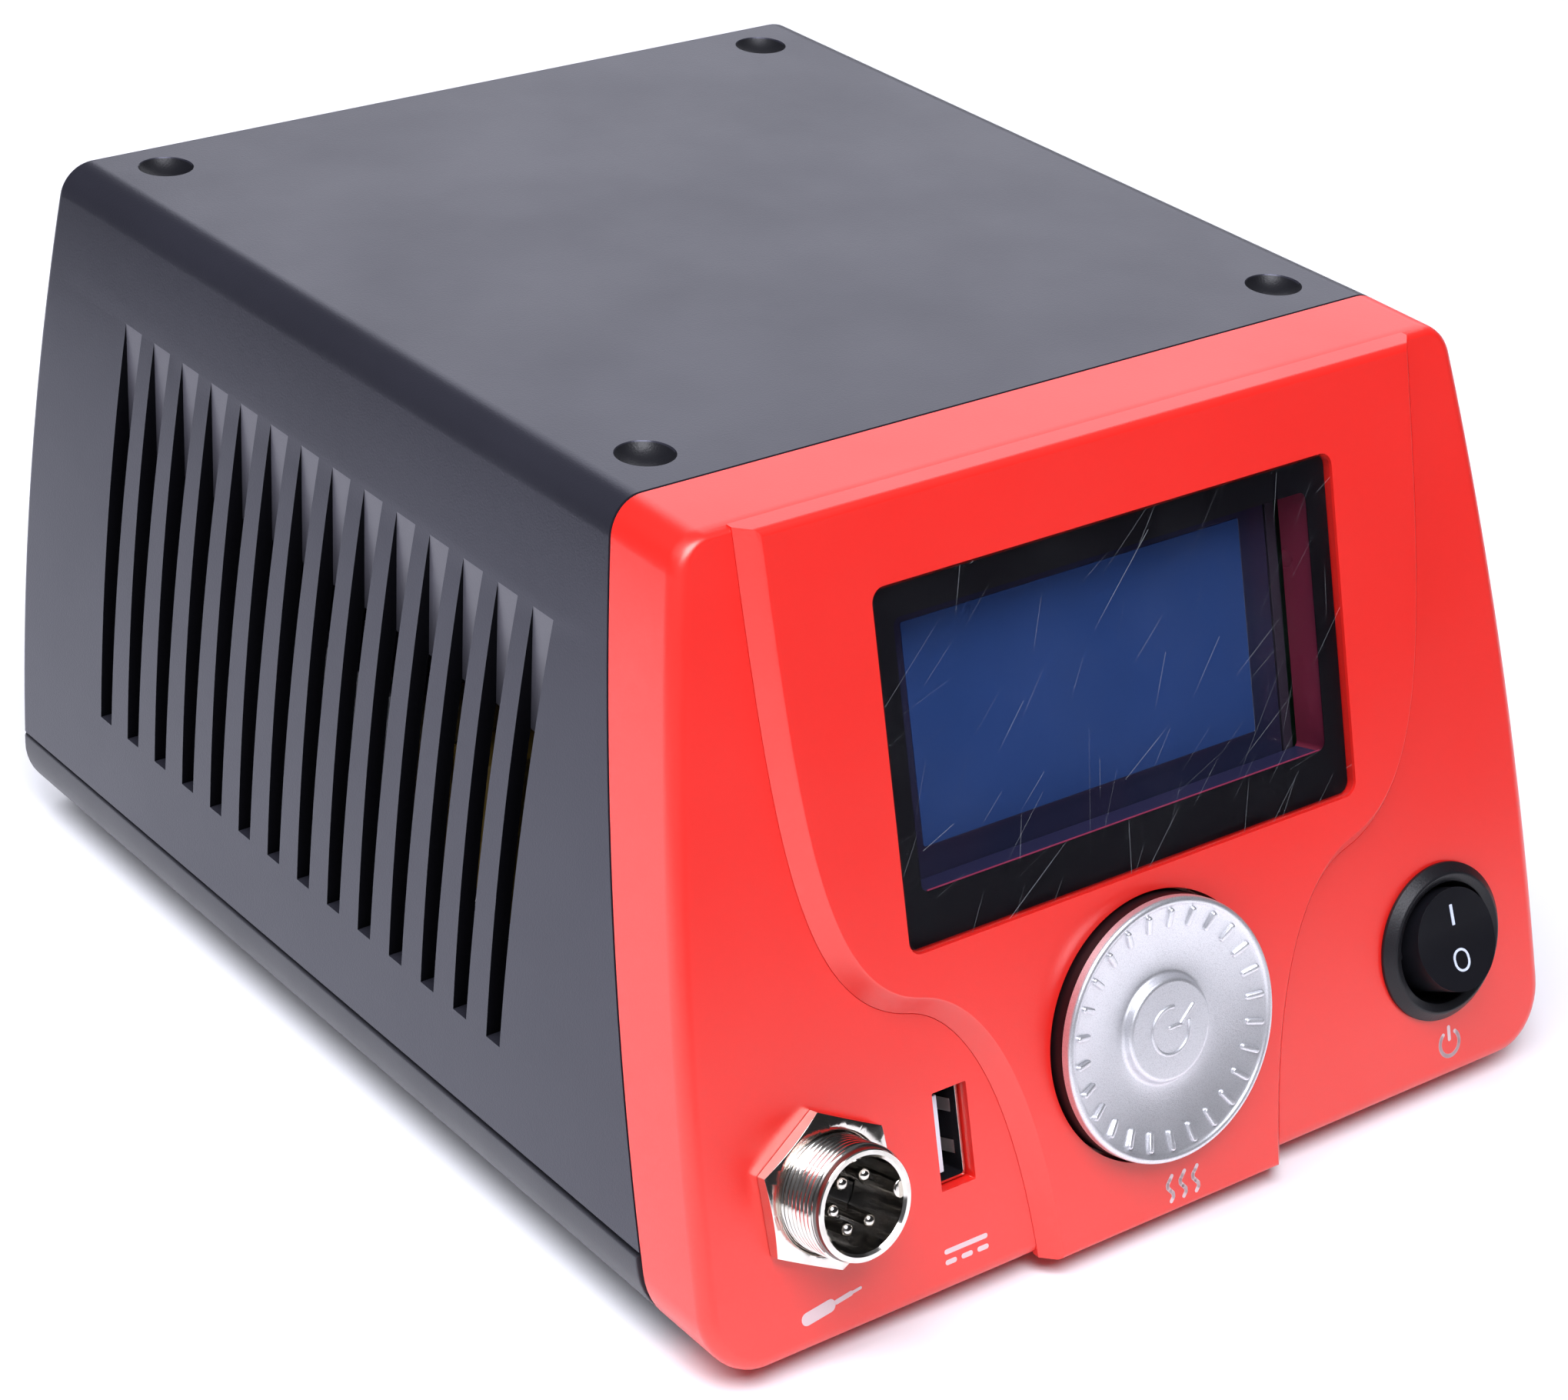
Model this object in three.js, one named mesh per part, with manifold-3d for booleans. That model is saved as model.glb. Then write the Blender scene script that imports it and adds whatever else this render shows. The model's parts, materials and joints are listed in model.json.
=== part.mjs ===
// A benchtop soldering iron station: a grey two-part plastic case, closed at the front by a red
// bezel that leans back and carries the display, the control knob, the mains switch, the iron's
// socket and a USB outlet. Millimetres, +X right, +Y to the back, +Z up. The feet stand on z = 0.

import * as THREE from 'three';
import { mergeVertices } from 'three/addons/utils/BufferGeometryUtils.js';
import Module from 'manifold-3d';

const wasm = await Module();
wasm.setup();

// ---- driving dimensions ---------------------------------------------------------------------

const DEG = Math.PI / 180;
const LEAN = 15.9 * DEG; // how far the front leans back from upright
const GAP = 0.3; // clearance between pieces that touch

const HALF_WIDTH = 75.6; // widest half-width of the case, low on its side walls
const SIDE_RADIUS = 500; // the side walls are one long arc
const SIDE_CENTRE_Z = 8; // height at which that arc stands upright
const FOOT_HEIGHT = 3; // underside of the case above the table
const FRONT_TOP = 107; // top of the case at the seam
const REAR_TOP = 104.4; // top of the case at the rear wall
const DEPTH = 181; // from the foot of the raised panel to the rear wall
const WALL = 2.5;
const TOP_CORNER = 5.5;
const BOTTOM_CORNER = 9;
const REAR_ROUND = 1.5;
const PARTING_Z = 13.9; // where the housing meets the tray
const SEAM = 15.8; // from the raised panel back to the housing, measured along Y
const SEAM_GAP = 0.4;

const PANEL_STEP = 2.4; // how far the middle panel stands proud of the rest of the bezel
const PANEL_SLOPE = 2.6; // width of the slope round the middle panel
const LOW = -PANEL_STEP; // height of the lower plane in the panel's own frame

const KNOB = { v: 27.1, radius: 18.2, pocket: 18.7, pocketDepth: 3.6 };
const BEAD = 0.6; // radius of the rounded rim round the knob's face
const DISH_SLOPE = 16 * DEG; // the face rises to its rim at this angle under the bars
const WINDOW = { v: 72.8, width: 79, height: 48.3, corner: 2, thick: 1.5, rebate: 1.7 };
const DISPLAY_HOLE = { v: 74, width: 73, height: 38, wellDepth: 3 };
const ROCKER = { x: 55.4, v: 21.9, flange: 11.5, opening: 8.8, barrel: 9.9, button: 7.4, tilt: 12 };
const SOCKET = { x: -55.5, v: 22, thread: 7.75, bore: 6.25, reach: 8.9, nut: 19, pinCircle: 3.6 };
const USB = { x: -33.9, v: 21.9, width: 5.7, height: 13.7, recess: 1.7 };

const VENT = { count: 14, pitch: 7.8, first: 52, bottom: 27.5, top: 89, narrow: 3.1, wide: 4.5 };
const VENT_FLOOR = 69.05; // the side vents are cut in as far as this upright plane
const DIMPLE = { x: 54, front: 54.7, rear: 172.3, radius: 4, depth: 2 };
const FOOT = { radius: 5.5, height: FOOT_HEIGHT - 0.4 };
const SCREW = { x: 60, front: 80, rear: 146, radius: 1.5, head: 2.8, boss: 4.4 };
const BOARD = { front: -14.4, thick: 1.6, halfWidth: 44, bottom: 8, top: 100 };
const BOARD_SCREW = { x: 40, low: 13, high: 98 };
const LCD = { v: 74, width: 68, height: 42, glassFront: -8.2, glassThick: 1.6, frameBack: -13.4 };
const ENCODER = { half: 6.5, front: -7.4, bush: 3.5, bushFront: -2.7, shaft: 3, rotor: 5.2 };
const ROCKER_PIVOT = LOW - 1; // height of the button's axle in the panel's frame
const PIN_ANGLES = [60, 120, 180, 240, 300]; // places of the iron socket's contacts
const PIN_RADIUS = 0.95;
const KEY_RADIUS = 1.35; // the half-round key in the iron socket's bore

const REAR_PLATE = { halfWidth: 60, bottom: 8.6, top: 95, thick: 2 };
const REAR_OPENING = { halfWidth: 56, top: 90 };
const REAR_PLATE_Y = DEPTH - WALL - GAP - REAR_PLATE.thick; // front face of the rear plate
// Places on the rear wall are measured in its own frame, with X running left seen from the front.
const INLET = { x: 24, z: 48, width: 27, height: 34, flange: 3, rim: 3, depth: 20 };
const INLET_MOUTH = { y: -6.5, width: 24.4, height: 16.4, depth: 17, chamfer: 4.5 };
const DRAWER = { y: 9.6, width: 22, height: 9, depth: 16 };
const EARTH_JACK = { x: -30, z: 38, radius: 4, bore: 2 };

const TRAY_FLOOR = FOOT_HEIGHT + WALL;
const TRANSFORMER = { x: -32, y: 113, z: 6, width: 54, depth: 23, height: 45 };
const STRAP = { thick: 1.2, foot: 7, half: 7, screw: TRANSFORMER.width / 2 + 4.6 };
const POWER_BOARD = { x: 30, y: 108, z: 11, width: 50, length: 84, thick: 1.6 };
const SMALL_SCREW = 1.25; // radius of the board and strap screws

// ---- materials ------------------------------------------------------------------------------

const finish = (color, roughness, metalness = 0) =>
  new THREE.MeshStandardMaterial({ color, roughness, metalness });

const GREY = finish(0x55565f, 0.55);
const RED = finish(0xee3d38, 0.45);
const BLACK = finish(0x16161a, 0.5);
const GLOSS_BLACK = finish(0x0b0b0e, 0.12);
const RUBBER = finish(0x1c1c1e, 0.9);
const SILVER = finish(0xc9ccd2, 0.3, 0.9);
const NICKEL = finish(0xd6d3cc, 0.18, 1);
const STEEL = finish(0xa5a8ab, 0.35, 1);
const BLUE_GLASS = finish(0x2d4a86, 0.1);
const BOARD_GREEN = finish(0x1f5a35, 0.5);
const WHITE = finish(0xe8e8ea, 0.4);
const COPPER_TAPE = finish(0xc9a227, 0.6);
const YELLOW_GREEN = finish(0xc9c62a, 0.5);
const BRASS = finish(0xcaa54e, 0.3, 1);

// ---- solids ---------------------------------------------------------------------------------

/** Six times the signed volume that a closed indexed mesh encloses. */
function signedVolume(position, index) {
  const a = new THREE.Vector3();
  const b = new THREE.Vector3();
  const c = new THREE.Vector3();
  let total = 0;
  for (let i = 0; i < index.length; i += 3) {
    a.fromArray(position, index[i] * 3);
    b.fromArray(position, index[i + 1] * 3);
    c.fromArray(position, index[i + 2] * 3);
    total += a.dot(b.cross(c));
  }
  return total;
}

/** Turns a closed three.js geometry into a manifold solid with its faces pointing out. */
function solid(geometry) {
  const bare = new THREE.BufferGeometry();
  const source = geometry.index ? geometry.toNonIndexed() : geometry;
  bare.setAttribute('position', source.getAttribute('position').clone());
  const merged = mergeVertices(bare, 1e-4);
  const position = Float32Array.from(merged.getAttribute('position').array);
  const triangles = [];
  const all = merged.index.array;
  for (let i = 0; i < all.length; i += 3) {
    const [a, b, c] = [all[i], all[i + 1], all[i + 2]];
    if (a !== b && b !== c && c !== a) triangles.push(a, b, c);
  }
  if (signedVolume(position, triangles) < 0) triangles.reverse();
  const triVerts = Uint32Array.from(triangles);
  return new wasm.Manifold(new wasm.Mesh({ numProp: 3, vertProperties: position, triVerts }));
}

/** Turns a manifold solid back into a three.js geometry. */
function geometryOf(shape) {
  const mesh = shape.getMesh();
  const geometry = new THREE.BufferGeometry();
  geometry.setAttribute('position', new THREE.BufferAttribute(mesh.vertProperties, 3));
  geometry.setIndex(new THREE.BufferAttribute(mesh.triVerts, 1));
  geometry.computeVertexNormals();
  return geometry;
}

const joined = (shapes) => shapes.reduce((sum, shape) => sum.add(shape));
const cut = (shape, tools) => tools.reduce((rest, tool) => rest.subtract(tool), shape);

function box(x0, x1, y0, y1, z0, z1) {
  const geometry = new THREE.BoxGeometry(x1 - x0, y1 - y0, z1 - z0);
  return geometry.translate((x0 + x1) / 2, (y0 + y1) / 2, (z0 + z1) / 2);
}

/** A cylinder that stands along Z, from z0 to z1. */
function rod(radius, z0, z1, x = 0, y = 0, sides = 24) {
  const geometry = new THREE.CylinderGeometry(radius, radius, z1 - z0, sides);
  return geometry.rotateX(90 * DEG).translate(x, y, (z0 + z1) / 2);
}

/** A turned piece round Z. The profile is [radius, z] points. */
function turned(profile, sides = 32) {
  const points = profile.map(([r, z]) => new THREE.Vector2(r, z));
  return new THREE.LatheGeometry(points, sides).rotateX(90 * DEG);
}

/** A shape drawn in X and Y, made solid from z0 to z1. */
function plate(shape, z0, z1, curveSegments = 2) {
  const options = { depth: z1 - z0, bevelEnabled: false, curveSegments };
  return new THREE.ExtrudeGeometry(shape, options).translate(0, 0, z0);
}

function roundedRect(width, height, radius, x = 0, y = 0) {
  const [w, h] = [width / 2 - radius, height / 2 - radius];
  const shape = new THREE.Shape();
  shape.absarc(x + w, y - h, radius, -90 * DEG, 0);
  shape.absarc(x + w, y + h, radius, 0, 90 * DEG);
  shape.absarc(x - w, y + h, radius, 90 * DEG, 180 * DEG);
  shape.absarc(x - w, y - h, radius, 180 * DEG, 270 * DEG);
  return shape;
}

function polygon(points) {
  return new THREE.Shape(points.map(([x, y]) => new THREE.Vector2(x, y)));
}

function hexagon(acrossFlats, turn = 0) {
  const corner = (i) => {
    const angle = (turn + 60 * i) * DEG;
    const reach = acrossFlats / 2 / Math.cos(30 * DEG);
    return [reach * Math.cos(angle), reach * Math.sin(angle)];
  };
  return polygon([0, 1, 2, 3, 4, 5].map(corner));
}

/** Joins closed rings of points, all of one length, into a closed skin with flat ends. */
function loft(rings) {
  const count = rings[0].length;
  const position = rings.flat().flatMap((p) => [p.x, p.y, p.z]);
  const index = [];
  for (let i = 0; i + 1 < rings.length; i++) {
    for (let j = 0; j < count; j++) {
      const near = i * count + j;
      const nearNext = i * count + ((j + 1) % count);
      index.push(near, near + count, nearNext + count, near, nearNext + count, nearNext);
    }
  }
  const cap = (ring, first, flip) => {
    const normal = new THREE.Vector3();
    const step = new THREE.Vector3();
    ring.forEach((p, j) => normal.add(step.crossVectors(p, ring[(j + 1) % count])));
    const flat = (p) => (Math.abs(normal.z) > Math.abs(normal.y) ? [p.x, p.y] : [p.x, p.z]);
    const outline = ring.map((p) => new THREE.Vector2(...flat(p)));
    for (const [a, b, c] of THREE.ShapeUtils.triangulateShape(outline, [])) {
      index.push(...(flip ? [first + c, first + b, first + a] : [first + a, first + b, first + c]));
    }
  };
  cap(rings[0], 0, false);
  cap(rings.at(-1), (rings.length - 1) * count, true);
  const geometry = new THREE.BufferGeometry();
  geometry.setAttribute('position', new THREE.Float32BufferAttribute(position, 3));
  geometry.setIndex(index);
  return geometry;
}

// ---- the leaning front ----------------------------------------------------------------------

// In the panel's frame X runs right, Y runs up the slope and Z points out of the panel, with the
// origin at the foot of the raised panel.
const PANEL = new THREE.Matrix4()
  .makeTranslation(0, 0, FOOT_HEIGHT)
  .multiply(new THREE.Matrix4().makeRotationX(90 * DEG - LEAN));

const onPanel = (geometry) => solid(geometry.applyMatrix4(PANEL));
const leanBack = (z) => Math.tan(LEAN) * (z - FOOT_HEIGHT);

// ---- the body's cross-section ---------------------------------------------------------------

/** A rounded corner that runs smoothly into the long arc of the side wall. */
function bodyCorner(sideRadius, edge, radius, up, steps) {
  const z = edge - up * radius;
  const reach = sideRadius - radius;
  const arcX = HALF_WIDTH - SIDE_RADIUS;
  const x = arcX + Math.sqrt(reach ** 2 - (z - SIDE_CENTRE_Z) ** 2);
  const meets = Math.atan2(z - SIDE_CENTRE_Z, x - arcX);
  const [from, to] = up > 0 ? [meets, 90 * DEG] : [-90 * DEG, meets];
  const points = [];
  for (let i = 0; i <= steps; i++) {
    const angle = from + ((to - from) * i) / steps;
    points.push([x + radius * Math.cos(angle), z + radius * Math.sin(angle)]);
  }
  return { points, meets };
}

/** The closed outline of the body in [x, z], anticlockwise from the front. Hidden ones are coarser. */
function bodyOutline(inset, top, bottom, hidden) {
  const sideRadius = SIDE_RADIUS - inset;
  const [turns, lifts] = hidden ? [2, 3] : [5, 4];
  const low = bodyCorner(sideRadius, bottom, Math.max(BOTTOM_CORNER - inset, 0.5), -1, turns);
  const high = bodyCorner(sideRadius, top, Math.max(TOP_CORNER - inset, 0.5), 1, turns);
  const side = [];
  for (let i = 1; i < lifts; i++) {
    const angle = low.meets + ((high.meets - low.meets) * i) / lifts;
    const x = HALF_WIDTH - SIDE_RADIUS + sideRadius * Math.cos(angle);
    side.push([x, SIDE_CENTRE_Z + sideRadius * Math.sin(angle)]);
  }
  const right = [...low.points, ...side, ...high.points];
  const left = right.map(([x, z]) => [-x, z]).reverse();
  return [...right, ...left];
}

function topAt(y) {
  const seam = SEAM + leanBack(FRONT_TOP);
  return FRONT_TOP + ((REAR_TOP - FRONT_TOP) * (y - seam)) / (DEPTH - seam);
}

/** The whole body behind the seam as one solid, shrunk by the inset. It runs on past the seam. */
function bodyBlock(inset) {
  const ring = (y, shrink) =>
    bodyOutline(shrink, topAt(y) - shrink, FOOT_HEIGHT + shrink, inset >= WALL - 1).map(
      ([x, z]) => new THREE.Vector3(x, y, z),
    );
  const rings = [ring(-10 - inset, inset)];
  const radius = Math.max(REAR_ROUND - inset, 0.3);
  const steps = inset > 0 ? 1 : 3;
  for (let i = 0; i <= steps; i++) {
    const angle = (90 * DEG * i) / steps;
    const y = DEPTH - inset - radius * (1 - Math.sin(angle));
    rings.push(ring(y, inset + radius * (1 - Math.cos(angle))));
  }
  return solid(loft(rings));
}

/** The space between two leaning planes, given by their distances behind the raised panel. */
function leaningSlab(from, to) {
  const corners = [[100, -20], [100, 130], [-100, 130], [-100, -20]];
  const ring = (depth) =>
    corners.map(([x, z]) => new THREE.Vector3(x, leanBack(z) + depth, z));
  return solid(loft([ring(from), ring(to)]));
}

const aheadOf = (distance) => leaningSlab(-100, distance);

/** The bezel's envelope from a leaning front plane back to the seam, with a rounded front edge. */
function bezelBlock(step, sideRound, topRound, inset = 0) {
  const ring = (depth, side, top) =>
    bodyOutline(inset + side, FRONT_TOP - inset - top, FOOT_HEIGHT + inset + side, inset > 0).map(
      ([x, z]) => new THREE.Vector3(x, leanBack(z) + depth, z),
    );
  const rings = [];
  const steps = inset > 0 ? 1 : 3;
  for (let i = 0; i <= steps; i++) {
    const angle = (90 * DEG * i) / steps;
    const back = step + sideRound * (1 - Math.cos(angle));
    rings.push(ring(back, sideRound * (1 - Math.sin(angle)), topRound * (1 - Math.sin(angle))));
  }
  rings.push(ring(SEAM + inset, 0, 0));
  return solid(loft(rings));
}

/** The raised middle panel's edge on the right, from the top down, in the panel's frame. */
function raisedEdge() {
  const shoulder = new THREE.Vector2(38.3, 43);
  const along = new THREE.Vector2(Math.cos(15 * DEG), Math.sin(15 * DEG));
  const upper = new THREE.CubicBezierCurve(
    new THREE.Vector2(55, 112),
    new THREE.Vector2(54.2, 72),
    shoulder.clone().addScaledVector(along, 15.9),
    shoulder,
  );
  const lower = new THREE.CubicBezierCurve(
    shoulder,
    shoulder.clone().addScaledVector(along, -10.5),
    new THREE.Vector2(20.4, 26),
    new THREE.Vector2(19.2, -4),
  );
  return [...upper.getPoints(10), ...lower.getPoints(8).slice(1)];
}

/** The middle panel with its sloping edge, standing on the lower plane. */
function raisedPanel() {
  const edge = raisedEdge();
  const outward = edge.map((p, i) => {
    const along = new THREE.Vector2().subVectors(
      edge[Math.min(i + 1, edge.length - 1)],
      edge[Math.max(i - 1, 0)],
    );
    return new THREE.Vector2(-along.y, along.x).normalize();
  });
  const ring = (offset, height) => {
    const right = edge.map((p, i) => p.clone().addScaledVector(outward[i], offset)).reverse();
    const left = right.map((p) => new THREE.Vector2(-p.x, p.y)).reverse();
    return [...right, ...left].map((p) => new THREE.Vector3(p.x, p.y, height));
  };
  const profile = [[1, -PANEL_STEP - 1], [1, -PANEL_STEP], [0.3, -0.6], [0.08, -0.1], [0, 0]];
  return onPanel(loft(profile.map(([share, height]) => ring(share * PANEL_SLOPE, height))));
}

// ---- case pieces ----------------------------------------------------------------------------

const screwPlaces = () =>
  [-1, 1].flatMap((side) => [SCREW.front, SCREW.rear].map((y) => [side * SCREW.x, y]));

function upperHousing() {
  const inside = bodyBlock(WALL);
  const partingRing = (y, z) =>
    [[100, 0], [100, z], [-100, z], [-100, 0]].map(([x, height]) => new THREE.Vector3(x, y, height));
  const below = loft([partingRing(-20, PARTING_Z + 0.9), partingRing(DEPTH + 5, PARTING_Z + 0.2)]);
  const shell = cut(bodyBlock(0), [inside, aheadOf(SEAM + SEAM_GAP), solid(below)]);
  const bosses = screwPlaces().map(([x, y]) => solid(rod(SCREW.boss, 19, FRONT_TOP - 2.2, x, y, 20)));
  const holes = screwPlaces().map(([x, y]) => solid(rod(SCREW.radius + GAP, 10, 34, x, y, 16)));
  const rearWindow = roundedRect(2 * REAR_OPENING.halfWidth, 2 * REAR_OPENING.top, 3);
  const rear = plate(rearWindow, -DEPTH - 5, -DEPTH + 10).rotateX(90 * DEG);
  return cut(joined([shell, ...bosses]), [...holes, solid(rear), ...sideVents(), ...dimples()]);
}

/** Upright slots cut in to one plane, so that they run out of the leaning wall at the top. */
function sideVents() {
  const tools = [];
  for (let i = 0; i < VENT.count; i++) {
    const y = VENT.first + i * VENT.pitch;
    const outline = polygon([
      [y, VENT.bottom],
      [y + VENT.narrow, VENT.bottom],
      [y + VENT.wide, VENT.top + 3],
      [y, VENT.top + 3],
    ]);
    for (const [from, to] of [[VENT_FLOOR, 90], [-90, -VENT_FLOOR]]) {
      tools.push(solid(plate(outline, from, to).rotateX(90 * DEG).rotateZ(90 * DEG)));
    }
  }
  return tools;
}

/** The recesses in the top that take the feet of another unit. */
function dimples() {
  const radius = (DIMPLE.radius ** 2 + DIMPLE.depth ** 2) / (2 * DIMPLE.depth);
  return [-1, 1].flatMap((side) =>
    [DIMPLE.front, DIMPLE.rear].map((y) => {
      const ball = new THREE.SphereGeometry(radius, 16, 16).rotateX(90 * DEG);
      return solid(ball.translate(side * DIMPLE.x, y, topAt(y) - DIMPLE.depth + radius));
    }),
  );
}

function baseTray() {
  const core = bodyBlock(WALL);
  const lipOuter = bodyBlock(WALL + 0.35);
  const lipInner = bodyBlock(WALL + 1.6);
  const within = (z0, z1, y1) => solid(box(-100, 100, -50, y1, z0, z1));
  const outer = cut(bodyBlock(0), [core, aheadOf(SEAM + 1.4)]);
  const tongue = cut(bodyBlock(1), [core, aheadOf(SEAM + SEAM_GAP)]);
  const wall = outer.add(tongue).intersect(within(0, PARTING_Z - 0.4, 200));
  const root = cut(bodyBlock(WALL - 0.6), [lipInner]).intersect(within(9, 13, 172));
  const lip = cut(lipOuter, [lipInner]).intersect(within(12.5, 17.5, 172));
  const rim = cut(root.add(lip), [aheadOf(SEAM + 4)]);
  const posts = screwPlaces().map(([x, y]) => solid(rod(SCREW.boss, 4, 18.7, x, y, 20)));
  const standoffs = boardPosts().map(([x, y]) => solid(rod(3, 4, POWER_BOARD.z - GAP, x, y, 16)));
  const holes = screwPlaces().flatMap(([x, y]) => [
    solid(rod(SCREW.radius + GAP, 0, 25, x, y, 16)),
    solid(rod(SCREW.head + GAP, 0, 7.4, x, y, 20)),
  ]);
  const strapHoles = [-1, 1].map((side) => {
    const x = TRANSFORMER.x + side * STRAP.screw;
    return solid(rod(SMALL_SCREW + GAP, TRAY_FLOOR - 2, 10, x, TRANSFORMER.y, 12));
  });
  return cut(joined([wall, rim, ...posts, ...standoffs]), [...holes, ...strapHoles, ...trayVents()]);
}

/** Vents through the rounded lower edge, one under each side vent. */
function trayVents() {
  const tools = [];
  for (let i = 0; i < VENT.count; i++) {
    const y = VENT.first + i * VENT.pitch;
    for (const side of [-1, 1]) {
      const reach = [side * 66, side * 80].sort((a, b) => a - b);
      tools.push(solid(box(reach[0], reach[1], y, y + 3.4, 0, 6.2)));
    }
  }
  return tools;
}

function frontBezel() {
  const lowStep = PANEL_STEP / Math.cos(LEAN);
  const face = bezelBlock(lowStep, 2.2, 0.8).add(bezelBlock(0, 0.8, 0.8).intersect(raisedPanel()));
  const hollow = bezelBlock(lowStep + WALL / Math.cos(LEAN), 1, 1, WALL);
  const back = LOW - WALL;
  const hole = DISPLAY_HOLE;
  const wellWall = roundedRect(hole.width + 3, hole.height + 3, 1, 0, hole.v);
  const well = plate(wellWall, back - hole.wellDepth, LOW);
  const posts = boardScrewPlaces().map(([x, v]) => rod(3.4, BOARD.front + GAP, LOW - 1, x, v, 16));
  const openings = [
    plate(roundedRect(WINDOW.width, WINDOW.height, WINDOW.corner, 0, WINDOW.v), -WINDOW.rebate, 5, 5),
    plate(roundedRect(hole.width, hole.height, 0.8, 0, hole.v), back - 10, 5),
    rod(KNOB.pocket, -KNOB.pocketDepth, 5, 0, KNOB.v, 48),
    rod(4.2, back - 5, 5, 0, KNOB.v, 24),
    rod(ROCKER.barrel + GAP, back - 5, 5, ROCKER.x, ROCKER.v, 32),
    rod(SOCKET.thread + GAP, back - 5, 5, SOCKET.x, SOCKET.v, 32),
    plate(roundedRect(USB.width, USB.height, 0.2, USB.x, USB.v), back - 5, 5),
    ...boardScrewPlaces().map(([x, v]) =>
      rod(SMALL_SCREW + GAP, BOARD.front - 2, back - 0.6, x, v, 16),
    ),
  ];
  const shell = joined([cut(face, [hollow]), onPanel(well), ...posts.map(onPanel)]);
  return cut(shell, [...openings.map(onPanel), leaningSlab(SEAM, SEAM + 100)]);
}

function rearPlate() {
  const { halfWidth, bottom, top, thick } = REAR_PLATE;
  const outline = roundedRect(2 * halfWidth, top - bottom, 2, 0, (top + bottom) / 2);
  const openings = [
    box(INLET.x - INLET.width / 2, INLET.x + INLET.width / 2,
      INLET.z - INLET.height / 2, INLET.z + INLET.height / 2, -5, 10),
    rod(EARTH_JACK.radius + GAP, -5, 10, EARTH_JACK.x, EARTH_JACK.z, 24),
  ];
  return cut(solid(plate(outline, 0, thick)), openings.map(solid));
}

// ---- display --------------------------------------------------------------------------------

function displayWindow() {
  const { width, height, corner, v, thick } = WINDOW;
  const outline = roundedRect(width - 2 * GAP, height - 2 * GAP, corner - GAP, 0, v);
  return solid(plate(outline, -thick + 0.1, -0.1, 5));
}

function lcdFrame() {
  const { v, width, height, glassFront, frameBack } = LCD;
  const body = plate(roundedRect(width + 4, height + 5, 1, 0, v), frameBack, glassFront);
  const seat = plate(roundedRect(width + 2 * GAP, height + 2 * GAP, 0.4, 0, v), glassFront - 2, 0);
  return cut(solid(body), [solid(seat)]);
}

function lcdGlass() {
  const { v, width, height, glassFront, glassThick } = LCD;
  return solid(plate(roundedRect(width, height, 0.4, 0, v), glassFront - glassThick, glassFront));
}

// ---- control board, encoder and knob --------------------------------------------------------

function boardScrewPlaces() {
  return [-1, 1].flatMap((side) =>
    [BOARD_SCREW.low, BOARD_SCREW.high].map((v) => [side * BOARD_SCREW.x, v]),
  );
}

function controlBoard() {
  const { front, thick, halfWidth, bottom, top } = BOARD;
  const outline = roundedRect(2 * halfWidth, top - bottom, 1.5, 0, (top + bottom) / 2);
  const holes = boardScrewPlaces().map(([x, v]) => solid(rod(SMALL_SCREW + GAP, -30, 0, x, v, 16)));
  return cut(solid(plate(outline, front - thick, front)), holes);
}

/** The encoder's case and bush, open at the back where the rotor and the switch lie. */
function encoderBody() {
  const { half, front, bush, bushFront, shaft, rotor } = ENCODER;
  const back = BOARD.front + GAP;
  const block = solid(plate(roundedRect(2 * half, 2 * half, 0.6), back, front));
  const neck = solid(rod(bush, front - 1, bushFront, 0, 0, 24));
  const bore = solid(rod(shaft + GAP, back - 1, 0, 0, 0, 24));
  const chamber = solid(rod(rotor + GAP, back - 1, front - 1.2, 0, 0, 32));
  return cut(block.add(neck), [bore, chamber]);
}

/** The toothed wheel that the shaft turns, and slides through when the knob is pushed. */
function encoderRotor() {
  const { front, shaft, rotor } = ENCODER;
  const teeth = 12;
  const outline = [];
  for (let i = 0; i < teeth * 2; i++) {
    const angle = (180 / teeth) * i * DEG;
    const reach = i % 2 ? rotor : rotor - 0.5;
    outline.push([reach * Math.cos(angle), reach * Math.sin(angle)]);
  }
  const wheel = solid(plate(polygon(outline), front - 4, front - 1.2 - GAP));
  return cut(wheel, [flattedRod(shaft + GAP, 1.5 + GAP, -20, 0)]);
}

/** A round bar with one side cut flat. */
function flattedRod(radius, flat, z0, z1) {
  return cut(solid(rod(radius, z0, z1, 0, 0, 24)), [solid(box(flat, 20, -20, 20, z0 - 1, z1 + 1))]);
}

function encoderShaft() {
  return flattedRod(ENCODER.shaft, 1.5, BOARD.front + 1.2, 1.2);
}

/** Profile of the knob from the middle of its face, round the rim, to its bore. */
function knobProfile() {
  const r = KNOB.radius;
  const bead = [];
  for (let i = 0; i <= 4; i++) {
    const angle = 140 * DEG * (1 - i / 4);
    bead.push([r - BEAD + BEAD * Math.cos(angle), 2.75 + BEAD * Math.sin(angle)]);
  }
  return [
    [0, 2.8], [6.7, 2.8], [7.1, 2.6], [7.3, 2], [7.7, 1.6], [8.4, 1.42], [11, 1.62], [13.8, 2.12], [16.9, 3],
    ...bead,
    [r, -2.2], [r - 0.3, -2.6], [r - 1.6, -2.6], [r - 1.7, -0.2], [5.4, -0.5], [5.2, -1.8],
    [0, -1.8], [0, 2.8],
  ];
}

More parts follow.
